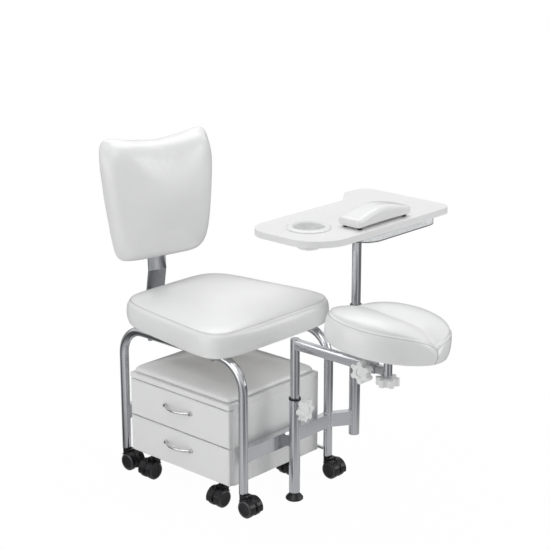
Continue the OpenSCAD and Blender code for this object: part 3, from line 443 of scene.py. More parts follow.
def valley_band(axle, back):
    """A V-shaped band round an axle, from straight above it to below its rear."""
    up = Vector((0, 0, 1))
    across = back.cross(up)
    mesh = bpy.data.meshes.new("valley")
    shape = bmesh.new()
    rows = []
    for turn in VALLEY_TURNS:
        out = back * math.sin(math.radians(turn)) + up * math.cos(math.radians(turn))
        rim = axle + out * VALLEY_RIM
        corners = (axle + out * VALLEY_TIP, rim + across * VALLEY_HALF, rim - across * VALLEY_HALF)
        rows.append([shape.verts.new(corner) for corner in corners])
    for one, two in zip(rows, rows[1:]):
        for i in range(3):
            shape.faces.new((one[i], one[(i + 1) % 3], two[(i + 1) % 3], two[i]))
    shape.faces.new(rows[0])
    shape.faces.new(rows[-1])
    bmesh.ops.recalc_face_normals(shape, faces=shape.faces)
    shape.to_mesh(mesh)
    shape.free()
    band = bpy.data.objects.new("valley", mesh)
    bpy.context.scene.collection.objects.link(band)
    return band


def split_hood(name, axle, back):
    """The hood of a caster with a valley between its two fenders."""
    piece = merged_copy(name + "_housing", "_split")
    band = valley_band(axle, back)
    cut = piece.modifiers.new("valley", "BOOLEAN")
    cut.operation = "DIFFERENCE"
    cut.solver = "EXACT"
    cut.object = band
    apply_modifiers(piece)
    bpy.data.objects.remove(band)
    shade_by_angle(piece.data)
    stand_in(piece, name + "_housing")


def pale_tread_and_highlight(name, axle, across):
    """Gives the outer part of the wheels the finish of their tread, paler partly as painted highlight."""
    mesh = frame["nodes"][name + "_wheels"].data
    mesh.materials.append(CASTER_BLACK)
    for polygon in mesh.polygons:
        away = polygon.center - axle
        polygon.material_index = 0 if (away - across * away.dot(across)).length > TREAD_AND_HIGHLIGHT_FROM else 1


for name in CASTERS:
    axle = middle(name + "_wheels")[0]
    back = Vector((-1, 0, 0)) if name.startswith("stool") else Vector((0, -1, 0))
    split_hood(name, axle, back)
    pale_tread_and_highlight(name, axle, back.cross(Vector((0, 0, 1))))
print("split", len(CASTERS), "hoods")

# %% [markdown]
# ## Cushions: a closed skin through rings
#
# Each cushion is a stack of closed outlines: the underside, the side wall, the seam and the crown. The
# outlines come from a superellipse, whose power says how square its corners are. A cushion starts a little
# small, because it is blown up afterwards, and its lowest few millimetres stay as they are.

# %% Rings and skins
PAD_SMALL = 0.001
HELD_RISE = 0.006


def signed_power(value, power):
    return math.copysign(abs(value) ** power, value)


def ease(value, low, high):
    """0 below low, 1 above high, smooth between."""
    share = min(1, max(0, (value - low) / (high - low)))
    return share * share * (3 - 2 * share)


def skin(name, rings, low, high):
    """A closed mesh through rings of equal length, with a fan at each end."""
    mesh = bpy.data.meshes.new(name)
    shape = bmesh.new()
    loops = [[shape.verts.new(point) for point in ring] for ring in rings]
    count = len(loops[0])
    for lower, upper in zip(loops, loops[1:]):
        for i in range(count):
            shape.faces.new((lower[i], lower[(i + 1) % count], upper[(i + 1) % count], upper[i]))
    for loop, tip, flip in ((loops[0], low, False), (loops[-1], high, True)):
        centre = shape.verts.new(tip)
        for i in range(count):
            edge = (loop[i], loop[(i + 1) % count])
            shape.faces.new((centre, *edge) if flip else (centre, *reversed(edge)))
    bmesh.ops.recalc_face_normals(shape, faces=shape.faces)
    shape.to_mesh(mesh)
    shape.free()
    obj = bpy.data.objects.new(name, mesh)
    bpy.context.scene.collection.objects.link(obj)
    return obj


def finish_mesh(obj, material):
    """Gives a made piece its finish and smooth shading."""
    obj.data.materials.clear()
    obj.data.materials.append(material)
    for polygon in obj.data.polygons:
        polygon.use_smooth = True


# %% [markdown]
# ## Stuffing a cushion
#
# Foam under a stretched cover bulges between its edges. The skin is remeshed to small squares, blown up
# gently by the cloth solver while the face on the board is held, and no point may go further than a cap.
# The same start gives the same cushion on every run.

# %% Stuff with the cloth solver


def remesh(obj, size):
    """Voxel remesh, applied."""
    modifier = obj.modifiers.new("remesh", "REMESH")
    modifier.mode = "VOXEL"
    modifier.voxel_size = size
    apply_modifiers(obj)


def stuff(obj, held, voxel, pressure, cap, even_steps=6, frames=16):
    """Blows a cushion up and evens it. held(point) is 1 where the cover is fixed, 0 where it is free."""
    remesh(obj, voxel)
    start = [vertex.co.copy() for vertex in obj.data.vertices]
    group, free = obj.vertex_groups.new(name="held"), obj.vertex_groups.new(name="free")
    for vertex in obj.data.vertices:
        group.add([vertex.index], held(vertex.co), "REPLACE")
        free.add([vertex.index], 1 - held(vertex.co), "REPLACE")
    cloth = obj.modifiers.new("cloth", "CLOTH")
    cloth.settings.quality = 5
    cloth.settings.mass = 0.3
    cloth.settings.tension_stiffness = 25
    cloth.settings.compression_stiffness = 25
    cloth.settings.bending_stiffness = 40
    cloth.settings.use_pressure = True
    cloth.settings.uniform_pressure_force = pressure
    cloth.settings.vertex_group_mass = "held"
    cloth.settings.effector_weights.gravity = 0
    cloth.point_cache.frame_start = 1
    cloth.point_cache.frame_end = frames
    for step in range(1, frames + 1):
        bpy.context.scene.frame_set(step)
    apply_modifiers(obj)
    bpy.context.scene.frame_set(1)
    furthest = 0
    for vertex, origin in zip(obj.data.vertices, start):
        move = vertex.co - origin
        furthest = max(furthest, move.length)
        if move.length > cap:
            vertex.co = origin + move * (cap / move.length)
    even = obj.modifiers.new("even", "SMOOTH")
    even.factor = 0.5
    even.iterations = even_steps
    even.vertex_group = "free"
    apply_modifiers(obj)
    obj.vertex_groups.clear()
    print(obj.name, "moved at most", round(furthest, 4), "before the cap of", cap)


def smooth_finer(obj):
    """One subdivision, applied."""
    modifier = obj.modifiers.new("finer", "SUBSURF")
    modifier.levels = modifier.render_levels = 1
    apply_modifiers(obj)


# %% [markdown]
# ## Seams and stitches
#
# A seam pulls the cover in along a line, so the mesh is moved inwards beside that line. The thread is
# made by geometry nodes: one short stitch repeated along the seam's curve, then made real. Its dark grey
# is painted shade for the shadows along the stitches.

# %% Seams


def pull_in(obj, line, depth, width):
    """Moves the mesh inwards by depth along a line of points, fading out over the width."""
    tree = KDTree(len(line))
    for index, point in enumerate(line):
        tree.insert(point, index)
    tree.balance()
    moves = []
    for vertex in obj.data.vertices:
        distance = tree.find(vertex.co)[2]
        if distance < 3 * width:
            share = math.exp(-(distance / width) ** 2)
            moves.append((vertex, vertex.normal * (-depth * share)))
    for vertex, move in moves:
        vertex.co += move


def onto(obj, line, lift=0.0):
    """The points of a line moved onto an object's surface, lifted by a little along its normal."""
    placed = []
    for point in line:
        _, place, normal, _ = obj.closest_point_on_mesh(point)
        placed.append(place + normal * lift)
    return placed


def dense(line, closed=True, step=0.002):
    """Points along a line at most a step apart."""
    points = []
    for a, b in zip(line, line[1:] + line[:1] if closed else line[1:]):
        parts = max(1, int((b - a).length / step))
        points += [a.lerp(b, k / parts) for k in range(parts)]
    if not closed:
        points.append(line[-1])
    return points


def row_tree(name, sockets, solid, turned):
    """Geometry nodes that lay one small solid again and again along a curve, made real and painted."""
    tree = bpy.data.node_groups.new(name, "GeometryNodeTree")
    face = tree.interface
    face.new_socket("Geometry", in_out="INPUT", socket_type="NodeSocketGeometry")
    for label, value in sockets.items():
        kind = "NodeSocketInt" if isinstance(value, int) else "NodeSocketFloat"
        face.new_socket(label, in_out="INPUT", socket_type=kind).default_value = value
    face.new_socket("Material", in_out="INPUT", socket_type="NodeSocketMaterial")
    face.new_socket("Geometry", in_out="OUTPUT", socket_type="NodeSocketGeometry")
    given = tree.nodes.new("NodeGroupInput").outputs
    points = add(tree, "GeometryNodeCurveToPoints", {"Curve": given["Geometry"], "Length": given["Pitch"]},
                 mode="LENGTH").outputs
    unit, size = solid(tree, given)
    laid = {"Points": points["Points"], "Instance": unit, "Scale": size}
    if turned:
        laid["Rotation"] = points["Rotation"]
    row = add(tree, "GeometryNodeInstanceOnPoints", laid)
    real = add(tree, "GeometryNodeRealizeInstances", {"Geometry": row.outputs["Instances"]})
    paint = add(tree, "GeometryNodeSetMaterial",
                {"Geometry": real.outputs["Geometry"], "Material": given["Material"]})
    add(tree, "NodeGroupOutput", {"Geometry": paint.outputs["Geometry"]})
    return tree


def one_stitch(tree, given):
    """A ball drawn out along the curve."""
    ball = add(tree, "GeometryNodeMeshUVSphere", {"Segments": 8, "Rings": 5, "Radius": 0.5})
    size = add(tree, "ShaderNodeCombineXYZ", {0: given["Thread"], 1: given["Thread"], 2: given["Length"]})
    return ball.outputs["Mesh"], size.outputs[0]


STITCHES = row_tree("stitches", {"Pitch": 0.0050, "Length": 0.0030, "Thread": 0.0014}, one_stitch, True)


def curve_of(name, lines, closed=True):
    """A poly curve through each line of points."""
    data = bpy.data.curves.new(name, "CURVE")
    data.dimensions = "3D"
    for line in lines:
        spline = data.splines.new("POLY")
        spline.points.add(len(line) - 1)
        for point, place in zip(spline.points, line):
            point.co = (*place, 1)
        spline.use_cyclic_u = closed
    obj = bpy.data.objects.new(name, data)
    bpy.context.scene.collection.objects.link(obj)
    return obj


def run_tree(name, source, tree, values):
    """Runs a geometry node tree on an object and returns the result as a smooth mesh object."""
    modifier = source.modifiers.new("nodes", "NODES")
    modifier.node_group = tree
    for item in tree.interface.items_tree:
        if item.item_type == "SOCKET" and item.in_out == "INPUT" and item.name in values:
            modifier[item.identifier] = values[item.name]
    graph = bpy.context.evaluated_depsgraph_get()
    mesh = bpy.data.meshes.new_from_object(source.evaluated_get(graph))
    mesh.name = name
    for polygon in mesh.polygons:
        polygon.use_smooth = True
    made = bpy.data.objects.new(name, mesh)
    bpy.context.scene.collection.objects.link(made)
    bpy.data.objects.remove(source)
    return made


def stitch(name, lines, material, closed=True, pitch=0.0050):
    """Thread along lines of points."""
    made = run_tree(name, curve_of(name + "_path", lines, closed), STITCHES,
                    {"Pitch": pitch, "Material": material})
    print(name, "has", len(made.data.polygons), "faces")
    return made


# The thread's dark grey is painted shade: it stands for the shadows along the stitches on the white cover.
SHADED_THREAD = plastic("thread", (0.20, 0.20, 0.20), (0.28, 0.28, 0.28), 0.6)
# Painted shadow: a dark cord laid in the footrest's upright seam stands for the shade in its crease.
SEAM_SHADOW_CORD = plastic("seam_shadow_cord", (0.10, 0.10, 0.10), (0.14, 0.14, 0.14), 0.7)

# %% [markdown]
# ## The seat cushion
#
# A square box cushion, wider in front, with soft corners. Its side wall bulges, the cover is sewn to the
# top panel along a stitched seam, and the top is crowned.

# %% Seat cushion
SEAT_WIDTH = 0.484
SEAT_BACK_WIDTH = 0.388
SEAT_LENGTH = 0.456
SEAT_SHIFT = 0.015
SEAT_SEAM_HEIGHT = 0.068
SEAT_CROWN = 0.017
SEAT_BOARD = 0.0143
SEAT_LIP = 0.0155
SEAT_SMALL = 0.003
SEAT_FLARE = 0.012
# Each pair: how far the outline is drawn in, and its share of the height of the wall or of the crown.
SEAT_WALL = ((0.009, 0), (0.005, 0.06), (0.0025, 0.2), (0, 0.45), (0.0005, 0.62), (0.002, 0.8), (0.006, 1.0))
SEAT_TOP = ((0.011, 0.15), (0.020, 0.34), (0.034, 0.52), (0.055, 0.68), (0.090, 0.84), (0.14, 0.94))


def seat_ring(inset, height, count=160):
    """One outline of the seat, drawn in by an inset, at a height."""
    front, rear = SEAT_WIDTH / 2 + SEAT_FLARE, SEAT_BACK_WIDTH / 2
    ring = []
    for i in range(count):
        turn = 2 * math.pi * i / count
        power = 2 / (6 if math.sin(turn) < 0 else 5.4)
        across = signed_power(math.cos(turn), power)
        along = signed_power(math.sin(turn), power)
        half = (front + rear) / 2 - (front - rear) / 2 * along - inset
        ring.append(CHAIR + Vector((across * half, SEAT_SHIFT + along * (SEAT_LENGTH / 2 - inset), height)))
    return ring


def seat_cushion():
    base = middle("seat_board")[1].z + 0.0008
    seam = base + SEAT_SEAM_HEIGHT
    rings = [seat_ring(SEAT_LIP, base + SEAT_BOARD), seat_ring(SEAT_LIP, base)]
    rings += [seat_ring(inset + SEAT_SMALL, base + rise * SEAT_SEAM_HEIGHT) for inset, rise in SEAT_WALL]
    rings += [seat_ring(inset + SEAT_SMALL, seam + rise * SEAT_CROWN) for inset, rise in SEAT_TOP]
    tip = CHAIR + Vector((0, SEAT_SHIFT, 0))
    pad = skin("seat_pad", rings, tip + Vector((0, 0, base + SEAT_BOARD)), tip + Vector((0, 0, seam + SEAT_CROWN)))

    def held(point):
        on_board = point.z < base + SEAT_BOARD + 0.004 and abs(point.x - CHAIR.x) < 0.17
        return 1 if point.z < base + HELD_RISE or on_board else 0

    stuff(pad, held, voxel=0.005, pressure=1.5, cap=0.004, even_steps=14, frames=12)
    seam_line = onto(pad, dense(seat_ring(0.007, seam - 0.001)))
    smooth_finer(pad)
    pull_in(pad, seam_line, depth=0.0016, width=0.003)
    finish_mesh(pad, WHITE_LEATHER)
    threads = stitch("seat_stitches", [onto(pad, dense(seat_ring(0.011, seam + 0.003)), 0.0002)], SHADED_THREAD)
    return pad, threads


seat_pad, seat_thread = seat_cushion()
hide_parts("seat_cushion")
for piece in (seat_pad, seat_thread):
    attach(piece, "chair")
print("seat pad", len(seat_pad.data.polygons), "faces")

# %% [markdown]
# ## The back cushion
#
# Two round lobes above and a dip between them, narrower below. The front face is fullest in the middle
# and rolls over a wide edge; the back is flat on its board.

# %% Back cushion
BACK_WIDTH = 0.362
BACK_LOW_WIDTH = 0.288
BACK_HEIGHT = 0.362
BACK_THICK = 0.072
BACK_UP = 0.760
BACK_SHIFT = 0.005
BACK_REAR = 0.281
BACK_LEAN = math.radians(3.5)
BACK_TURN = math.radians(-11)
BACK_PIVOT = 0.262
BACK_BOARD = 0.0103
BACK_RECESS = 0.0125
BACK_DIP = 0.030
# Each pair: how far the outline is drawn in, and the share of the thickness it lies at.
BACK_WALL = ((0.005, 0.024), (0.002, 0.08), (0, 0.2), (0.0012, 0.38), (0.006, 0.56), (0.012, 0.68),
             (0.021, 0.79), (0.034, 0.87), (0.052, 0.93), (0.078, 0.965), (0.11, 0.985), (0.14, 0.995))


def back_place(across, up, forward):
    """A point given on the backrest: across it, up its rear face, and forward from that face."""
    point = Vector((across, BACK_REAR + up * math.sin(BACK_LEAN) - forward * math.cos(BACK_LEAN),
                    BACK_UP + up * math.cos(BACK_LEAN) + forward * math.sin(BACK_LEAN)))
    pivot = Vector((0, BACK_PIVOT, 0))
    return CHAIR + pivot + Matrix.Rotation(BACK_TURN, 3, "Z") @ (point - pivot)


def back_outline(turn, inset, soft):
    """A point of the outline. Its corners are tight at the rear and round where soft is 1."""
    power = 2 / (14 - 7.5 * soft if math.sin(turn) < 0 else 10 - 5.5 * soft)
    across = signed_power(math.cos(turn), power)
    up = signed_power(math.sin(turn), power)
    wide, low = BACK_WIDTH / 2, BACK_LOW_WIDTH / 2
    half = wide - (wide - low) * ((1 - up) / 2) ** 1.9 - inset
    dip = BACK_DIP * (1 - across * across) ** 1.5 * max(up, 0) ** 3
    return BACK_SHIFT + across * half, up * (BACK_HEIGHT / 2 - inset) - dip


def back_ring(inset, forward, count=160):
    soft = 0 if inset == BACK_RECESS else min(1, forward / (0.4 * BACK_THICK))
    return [back_place(*back_outline(-2 * math.pi * i / count, inset, soft), forward) for i in range(count)]


def back_cushion():
    rings = [back_ring(BACK_RECESS, BACK_BOARD), back_ring(BACK_RECESS, 0.0015)]
    rings += [back_ring(inset + PAD_SMALL, share * BACK_THICK) for inset, share in BACK_WALL]
    pad = skin("back_pad", rings, back_place(0, 0, BACK_BOARD), back_place(0, 0, BACK_THICK))
    rear = back_place(0, 0, 0)
    out = (back_place(0, 0, 1) - rear).normalized()
    stuff(pad, lambda p: 1 if (p - rear).dot(out) < 0.015 else 0, voxel=0.005, pressure=3, cap=0.006)
    smooth_finer(pad)
    finish_mesh(pad, WHITE_LEATHER)
    return pad


back_pad = back_cushion()
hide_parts("backrest_cushion")
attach(back_pad, "chair")
print("back pad", len(back_pad.data.polygons), "faces")

# %% [markdown]
# ## The stool cushion
#
# A thin square pad on the stool's lid: the cover is drawn down to the edge, so it slopes from a low
# crown to a tight, slightly hollow rim, and it is fullest along the middle.

# %% Stool cushion
STOOL_MID, STOOL_LOW, STOOL_HIGH = middle("stool_cushion")
STOOL_RISE = 0.042
# Each pair: how far the outline is drawn in, and its share of the rise.
STOOL_WALL = ((0.003, 0), (0.001, 0.06), (0, 0.14), (0.001, 0.22), (0.004, 0.32), (0.010, 0.42),
              (0.022, 0.54), (0.045, 0.70), (0.075, 0.83), (0.11, 0.92), (0.15, 0.97))


def stool_ring(inset, height, count=160):
    """One outline of the stool's pad: square at its edge, rounder further in."""
    half_x = (STOOL_HIGH.x - STOOL_LOW.x) / 2
    half_y = (STOOL_HIGH.y - STOOL_LOW.y) / 2
    ring = []
    for i in range(count):
        turn = 2 * math.pi * (i + 0.5) / count
        power = 2 / (30 - 22 * ease(inset, 0.004, 0.022))
        across = signed_power(math.cos(turn), power)
        along = signed_power(math.sin(turn), power)
        pull = 0.0025 * (1 - abs(across * along) ** 2)
        ring.append(Vector((STOOL_MID.x + across * (half_x - inset - pull),
                            STOOL_MID.y + along * (half_y - inset - pull), height)))
    return ring


def stool_cushion():
    base = STOOL_LOW.z + 0.0002
    rings = [stool_ring(inset + PAD_SMALL, base + share * STOOL_RISE) for inset, share in STOOL_WALL]
    tips = [Vector((STOOL_MID.x, STOOL_MID.y, height)) for height in (base, base + STOOL_RISE)]
    pad = skin("stool_pad", rings, *tips)
    stuff(pad, lambda p: 1 if p.z < base + HELD_RISE else 0, voxel=0.005, pressure=1.5, cap=0.004, even_steps=2)
    smooth_finer(pad)
    finish_mesh(pad, WHITE_LEATHER)
    return pad


stool_pad = stool_cushion()
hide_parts("stool_cushion")
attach(stool_pad, "stool")
print("stool pad", len(stool_pad.data.polygons), "faces")

# %% [markdown]
# ## The footrest cushion
#
# A round pad with two raised sides and a valley between them for the calf. A stitched seam runs round the
# top edge and follows the sides up and down, and the wall is closed by one upright seam. A dark cord laid
# in that seam's groove is painted shadow for its crease.

# %% Footrest cushion
FOOT_R = 0.160
FOOT_SIDE = 0.077
FOOT_FAR = 0.072
FOOT_END = 0.050
FOOT_BOARD = 0.0135
FOOT_RECESS = 0.1315
# Each pair: how far the wall is drawn in, and its share of the rim's height there. Then the crown's radii.
FOOT_WALL = ((0.010, 0.012), (0.005, 0.05), (0.0015, 0.18), (0, 0.45), (0.0006, 0.62), (0.002, 0.8), (0.006, 0.95))
FOOT_CROWN = (0.147, 0.139, 0.128, 0.114, 0.098, 0.080, 0.060, 0.040, 0.020)
LEAN_TO = math.radians(-25)
LEAN = Matrix.Rotation(math.radians(9), 3, Vector((-math.sin(LEAN_TO), math.cos(LEAN_TO), 0)))
FOOT_PIVOT = middle("footrest_board")[0] - LEAN @ Vector((0, 0, 0.006))


def foot_place(turn, radius, rise):
    """A point on the leaning footrest: round it, out from its middle, and up from its underside."""
    return FOOT_PIVOT + LEAN @ Vector((radius * math.cos(turn), radius * math.sin(turn), rise))


def foot_side(turn):
    """The height of the raised side nearest to a turn."""
    return FOOT_SIDE if math.cos(turn) < 0 else FOOT_FAR


def foot_rim(turn):
    """The height of the top edge: low at the ends of the valley, high at its sides."""
    return FOOT_END + (foot_side(turn) - FOOT_END) * (1 - (1 - abs(math.cos(turn))) ** 3.1)


def foot_wall(turn, inset, share):
    return foot_place(turn, FOOT_R - inset, share * foot_rim(turn))


def foot_top(turn, radius):
    across = abs(radius * math.cos(turn) / FOOT_R)
    raised = (foot_side(turn) - FOOT_END + 0.006) * (1 - (1 - across) ** 1.7)
    dome = 0.031 * (1 - (radius / FOOT_R) ** 4)
    return foot_place(turn, radius, FOOT_END - 0.006 + raised + dome)


def footrest_cushion(count=160):
    turns = [2 * math.pi * i / count for i in range(count)]
    rings = [[foot_place(t, FOOT_RECESS, rise) for t in turns] for rise in (FOOT_BOARD, 0.0008)]
    rings += [[foot_wall(t, inset + PAD_SMALL, share) for t in turns] for inset, share in FOOT_WALL]
    rings += [[foot_top(t, radius) for t in turns] for radius in FOOT_CROWN]
    pad = skin("footrest_pad", rings, foot_place(0, 0, FOOT_BOARD), foot_place(0, 0, FOOT_END + 0.0245))
    up = LEAN @ Vector((0, 0, 1))

    def held(point):
        rise = (point - FOOT_PIVOT).dot(up)
        return 1 if rise < HELD_RISE or rise < FOOT_BOARD + 0.005 and (point - FOOT_PIVOT).length < 0.136 else 0

    stuff(pad, held, voxel=0.005, pressure=3, cap=0.006)
    smooth_finer(pad)
    edge = onto(pad, dense([foot_wall(t, 0.007, 0.97) for t in turns]))
    pull_in(pad, edge, depth=0.0020, width=0.003)
    upright = [foot_wall(-math.pi / 2, 0, 0.02 + 0.95 * k / 30) for k in range(31)]
    upright = onto(pad, dense(upright, closed=False))
    pull_in(pad, upright, depth=0.0018, width=0.0025)
    finish_mesh(pad, WHITE_LEATHER)
    thread_line = onto(pad, dense([foot_wall(t, 0.0035, 0.90) for t in turns]), 0.0002)
    threads = stitch("footrest_stitches", [thread_line], SHADED_THREAD)
    # A dark cord along the upright seam, as painted shadow for the seam's crease.
    seam_shadow = stitch("footrest_seam_shadow_cord", [onto(pad, upright, -0.0002)], SEAM_SHADOW_CORD, closed=False, pitch=0.0018)
    return pad, threads, seam_shadow


footrest_pad, footrest_thread, footrest_seam_shadow = footrest_cushion()
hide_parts("footrest_cushion")
for piece in (footrest_pad, footrest_thread, footrest_seam_shadow):
    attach(piece, "footrest")
print("footrest pad", len(footrest_pad.data.polygons), "faces")

# %% [markdown]
# ## The hand rest
#
# A small arched pad on the table: a cover pulled over a low board, highest in the middle, with flat ends
# and four pegs for feet.

# %% Hand rest
REST_MID, REST_LOW, _ = middle("hand_rest")
REST_LENGTH = 0.219
REST_WIDTH = 0.076
REST_END = 0.027
REST_ARCH = 0.0205
PEG_RADIUS = 0.0062
PEG_HEIGHT = 0.008


def rest_ring(share, count=96):
    """One slice of the hand rest across its length."""
    rise = REST_END + REST_ARCH * math.cos(math.radians(80 * share)) ** 1.4
    half = REST_WIDTH / 2 - 0.0025 * (1 - share * share)
    ring = []
    for i in range(count):
        turn = 2 * math.pi * (i + 0.5) / count - math.pi / 2
        along = signed_power(math.cos(turn), 0.3)
        up = signed_power(math.sin(turn), 0.36)
        ring.append(Vector((REST_MID.x + share * REST_LENGTH / 2, REST_MID.y + along * half,
                            REST_LOW.z + 0.005 + (up + 1) / 2 * (rise - 0.005))))
    return ring


def hand_rest():
    rings = [rest_ring(k / 24) for k in range(-24, 25)]
    ends = [Vector((REST_MID.x + s * REST_LENGTH / 2, REST_MID.y, REST_LOW.z + 0.016)) for s in (-1, 1)]
    pad = skin("hand_rest_pad", rings, *ends)
    stuff(pad, lambda p: 1 if p.z < REST_LOW.z + 0.008 else 0, voxel=0.004, pressure=2, cap=0.002)
    smooth_finer(pad)
    for s in (-1, 1):
        rim = [point - Vector((s * 0.002, 0, 0)) for point in rest_ring(s * 0.985)]
        pull_in(pad, onto(pad, dense(rim)), depth=0.0008, width=0.002)
    finish_mesh(pad, WHITE_LEATHER)
    return pad


def hand_rest_feet():
    """Four small turned feet with a rounded edge."""
    mesh = bpy.data.meshes.new("hand_rest_feet")
    shape = bmesh.new()
    for sx, sy in ((-1, -1), (-1, 1), (1, -1), (1, 1)):
        centre = Vector((REST_MID.x + sx * (REST_LENGTH / 2 - 0.016), REST_MID.y + sy * (REST_WIDTH / 2 - 0.014),
                         REST_LOW.z + PEG_HEIGHT / 2))
        made = bmesh.ops.create_cone(shape, cap_ends=True, segments=28, radius1=PEG_RADIUS, depth=PEG_HEIGHT,
                                     radius2=PEG_RADIUS + 0.0008, matrix=Matrix.Translation(centre))
        rim = [e for e in shape.edges if e.is_valid and all(v in made["verts"] for v in e.verts)
               and abs(e.verts[0].co.z - e.verts[1].co.z) < SAME_PLACE]
        bmesh.ops.bevel(shape, geom=rim, offset=0.001, segments=2, affect="EDGES")
    shape.to_mesh(mesh)
    shape.free()
    feet = bpy.data.objects.new("hand_rest_feet", mesh)
    bpy.context.scene.collection.objects.link(feet)
    finish_mesh(feet, BLACK_PLASTIC)
    return feet


hand_pad = hand_rest()
hand_feet = hand_rest_feet()
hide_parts("hand_rest")
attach(hand_pad, "hand_rest")
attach(hand_feet, "hand_rest")
print("hand rest", len(hand_pad.data.polygons), "faces")

# %% [markdown]
# ## Weld beads
#
# The bars are welded to the round legs. A weld is a row of small overlapping puddles, so the tree that lays
# stitches also lays drops along the line where bar and tube meet, each a little different in size.

# %% Weld beads
LEG_R = 0.0125
POST_R = 0.015
WELD_INSET = 0.0004


def one_drop(tree, given):
    """A ball of a slightly random size."""
    ball = add(tree, "GeometryNodeMeshIcoSphere", {"Radius": 0.5, "Subdivisions": 2})
    vary = add(tree, "FunctionNodeRandomValue", {2: 0.75, 3: 1.15, "Seed": given["Seed"]}, data_type="FLOAT")
    size = add(tree, "ShaderNodeMath", {0: given["Drop"], 1: vary.outputs[1]}, operation="MULTIPLY")
    return ball.outputs["Mesh"], size.outputs[0]


def bar_joint(centre, radius, towards, half, low, high):
    """The line round a rectangular bar's end where it meets an upright tube."""
    spread = math.asin(half / radius)
    left, right = towards - spread, towards + spread
    line = [(left + 2 * spread * k / 8, high) for k in range(9)]
    line += [(right, high + (low - high) * k / 6) for k in range(1, 7)]
    line += [(right - 2 * spread * k / 8, low) for k in range(1, 9)]
    line += [(left, low + (high - low) * k / 6) for k in range(1, 6)]
    return [Vector((centre.x + radius * math.cos(a), centre.y + radius * math.sin(a), z)) for a, z in line]


def weld_beads():
    _, bar_low, bar_high = middle("front_bar")
    left_x, right_x = middle("left_leg_frame")[0].x, middle("right_leg_frame")[0].x
    half = (bar_high.y - bar_low.y) / 2 - WELD_INSET
    post = middle("table_post_mast")[0]
    corner = Vector((right_x, FRONT_BAR.y, 0))
    run = math.atan2(post.y - corner.y, post.x - corner.x)
    joints = [(Vector((x, y, 0)), LEG_R, towards) for y in (FRONT_BAR.y, REAR_BAR.y)
              for x, towards in ((left_x, 0), (right_x, math.pi))]
    joints += [(corner, LEG_R, run), (post, POST_R, run + math.pi)]
    source = curve_of("weld_path", [bar_joint(*joint, half, bar_low.z, bar_high.z) for joint in joints])
    tree = row_tree("weld_bead", {"Pitch": 0.0022, "Drop": 0.0042, "Seed": 3}, one_drop, False)
    return run_tree("weld_beads", source, tree, {"Material": PLATED_TUBE})


welds = weld_beads()
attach(welds, "chair")
print("weld beads", len(welds.data.polygons), "faces")

# %% [markdown]
# ## The studio
#
# A white sweep with the chair on it. The floor and the world look plain white to the camera and through
# clear plastic. Polished metal mirrors dark and bright bands instead, and a weak light from all round and
# four large lamps light the chair itself.

# %% Floor, world and lamps
WORLD_LIGHT = 0.36
MIRRORED_LIGHT = 0.9
FLOOR_HALF = 40.0
# Shares of a turn from -X by way of -Y, each with its brightness: what polished metal sees, and the light.
MIRROR_BANDS = ((0.0, 0.85), (0.045, 0.95), (0.085, 0.30), (0.125, 0.42), (0.165, 0.12), (0.21, 0.70),
                (0.27, 0.55), (0.31, 0.10), (0.40, 0.30), (0.55, 0.06), (0.72, 0.12), (0.80, 0.55),
                (0.86, 0.08), (0.93, 0.60), (1.0, 0.85))
ROOM_BANDS = ((0.0, 1.0), (0.06, 0.75), (0.13, 0.20), (0.20, 0.75), (0.30, 0.9), (0.70, 0.8), (0.80, 0.35),
              (0.90, 0.25), (0.96, 0.8), (1.0, 1.0))
# Each row: the name, the place, the size, the power, and the height on the chair's axis that it lights.
LAMPS = (
    ("key_lamp", (-2.6, -0.8, 3.2), (2.6, 2.4), 28, 0.50),
    ("right_lamp", (1.8, -2.6, 1.3), (1.8, 1.6), 27, 0.50),
    ("left_lamp", (-3.2, 0.9, 0.80), (2.6, 1.4), 19, 0.45),
    ("top_lamp", (0.6, 0.8, 3.6), (3.0, 3.0), 60, 0.40),
)


def studio_bands(owner, source, bands):
    """A brightness for each direction round the chair, and the height of that direction."""
    across, along, height = add(owner, "ShaderNodeSeparateXYZ", {0: source}).outputs
    angle = add(owner, "ShaderNodeMath", {0: along, 1: across}, operation="ARCTAN2").outputs[0]
    ramp = add(owner, "ShaderNodeValToRGB", {0: remap(owner, angle, 0, 1, -math.pi, math.pi)})
    ramp.color_ramp.interpolation = "EASE"
    stops = ramp.color_ramp.elements
    for place, _ in bands[1:-1]:
        stops.new(place)
    for stop, (place, value) in zip(stops, bands):
        stop.position = place
        stop.color = (value, value, value * 1.02, 1)
    return ramp.outputs[0], height


def by_ray(owner, lit, mirrored, seen, share=None):
    """One shader as light, one for what polished metal mirrors, one for the camera and clear plastic."""
    path = add(owner, "ShaderNodeLightPath").outputs
    direct = add(owner, "ShaderNodeMath", {0: path["Is Camera Ray"], 1: path["Is Transmission Ray"]},
                 operation="MAXIMUM").outputs[0]
    if share:
        direct = add(owner, "ShaderNodeMath", {0: direct, 1: share}, operation="MULTIPLY").outputs[0]
    mirror = add(owner, "ShaderNodeMixShader",
                 {0: path["Is Glossy Ray"], 1: lit.outputs[0], 2: mirrored.outputs[0]}).outputs[0]
    return add(owner, "ShaderNodeMixShader", {0: direct, 1: mirror, 2: seen.outputs[0]}).outputs[0]


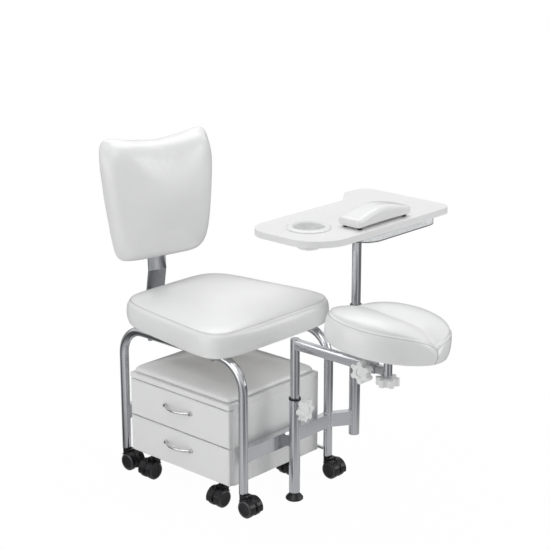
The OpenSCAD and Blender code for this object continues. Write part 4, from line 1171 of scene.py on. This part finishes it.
def white_world():
    """White to the camera and through clear plastic, banded in polished metal, and a weak uneven light."""
    world = bpy.data.worlds.new("studio")
    bpy.context.scene.world = world
    world.use_nodes = True
    world.node_tree.nodes.clear()
    place = add(world, "ShaderNodeTexCoord").outputs["Generated"]
    bands, height = studio_bands(world, place, MIRROR_BANDS)
    sky = two_tone(world, remap(world, height, 0, 1, 0.0, 0.28), bands, (1, 1, 1))
    sides, height = studio_bands(world, place, ROOM_BANDS)
    room = two_tone(world, remap(world, height, 0, 1, 0.25, 0.75), sides, (0.97, 0.985, 1.0))
    lit = add(world, "ShaderNodeBackground", {"Color": room, "Strength": WORLD_LIGHT})
    mirrored = add(world, "ShaderNodeBackground", {"Color": sky, "Strength": MIRRORED_LIGHT})
    seen = add(world, "ShaderNodeBackground", {"Color": (1, 1, 1, 1), "Strength": 1})
    add(world, "ShaderNodeOutputWorld", {0: by_ray(world, lit, mirrored, seen)})


def white_floor():
    """A pale floor: plain white away from the chair, a soft shadow under it, banded in polished metal."""
    material, shader = new_material("floor_white", Base_Color=(0.9, 0.9, 0.9, 1), Roughness=0.9)
    place = add(material, "ShaderNodeTexCoord").outputs["Object"]
    bands, _ = studio_bands(material, place, MIRROR_BANDS)
    away = add(material, "ShaderNodeVectorMath", {0: place}, operation="LENGTH").outputs["Value"]
    ground = two_tone(material, remap(material, away, 0, 1, 0.35, 0.75), (0.72, 0.72, 0.73), bands)
    mirrored = add(material, "ShaderNodeEmission", {"Color": ground, "Strength": MIRRORED_LIGHT})
    glow = add(material, "ShaderNodeEmission", {"Strength": 1.0})
    clean = remap(material, away, 0.98, 1.0, 0.7, 1.3)
    link(material, by_ray(material, shader, mirrored, glow, clean),
         material.node_tree.nodes["Material Output"].inputs[0])
    mesh = bpy.data.meshes.new("floor")
    corners = [(x * FLOOR_HALF, y * FLOOR_HALF, 0) for x, y in ((-1, -1), (1, -1), (1, 1), (-1, 1))]
    mesh.from_pydata(corners, [], [(0, 1, 2, 3)])
    mesh.materials.append(material)
    floor = bpy.data.objects.new("floor", mesh)
    bpy.context.scene.collection.objects.link(floor)


def lamp(name, place, size, power, height):
    """A rectangular area lamp that looks at the chair's axis."""
    data = bpy.data.lights.new(name, "AREA")
    data.shape = "RECTANGLE"
    data.size, data.size_y = size
    data.energy = power
    obj = bpy.data.objects.new(name, data)
    bpy.context.scene.collection.objects.link(obj)
    obj.location = place
    obj.rotation_euler = (Vector((0, 0, height)) - Vector(place)).to_track_quat("-Z", "Y").to_euler()


white_world()
white_floor()
for row in LAMPS:
    lamp(*row)
bpy.context.scene.view_settings.view_transform = "Standard"
print("studio is set with", len(LAMPS), "lamps")
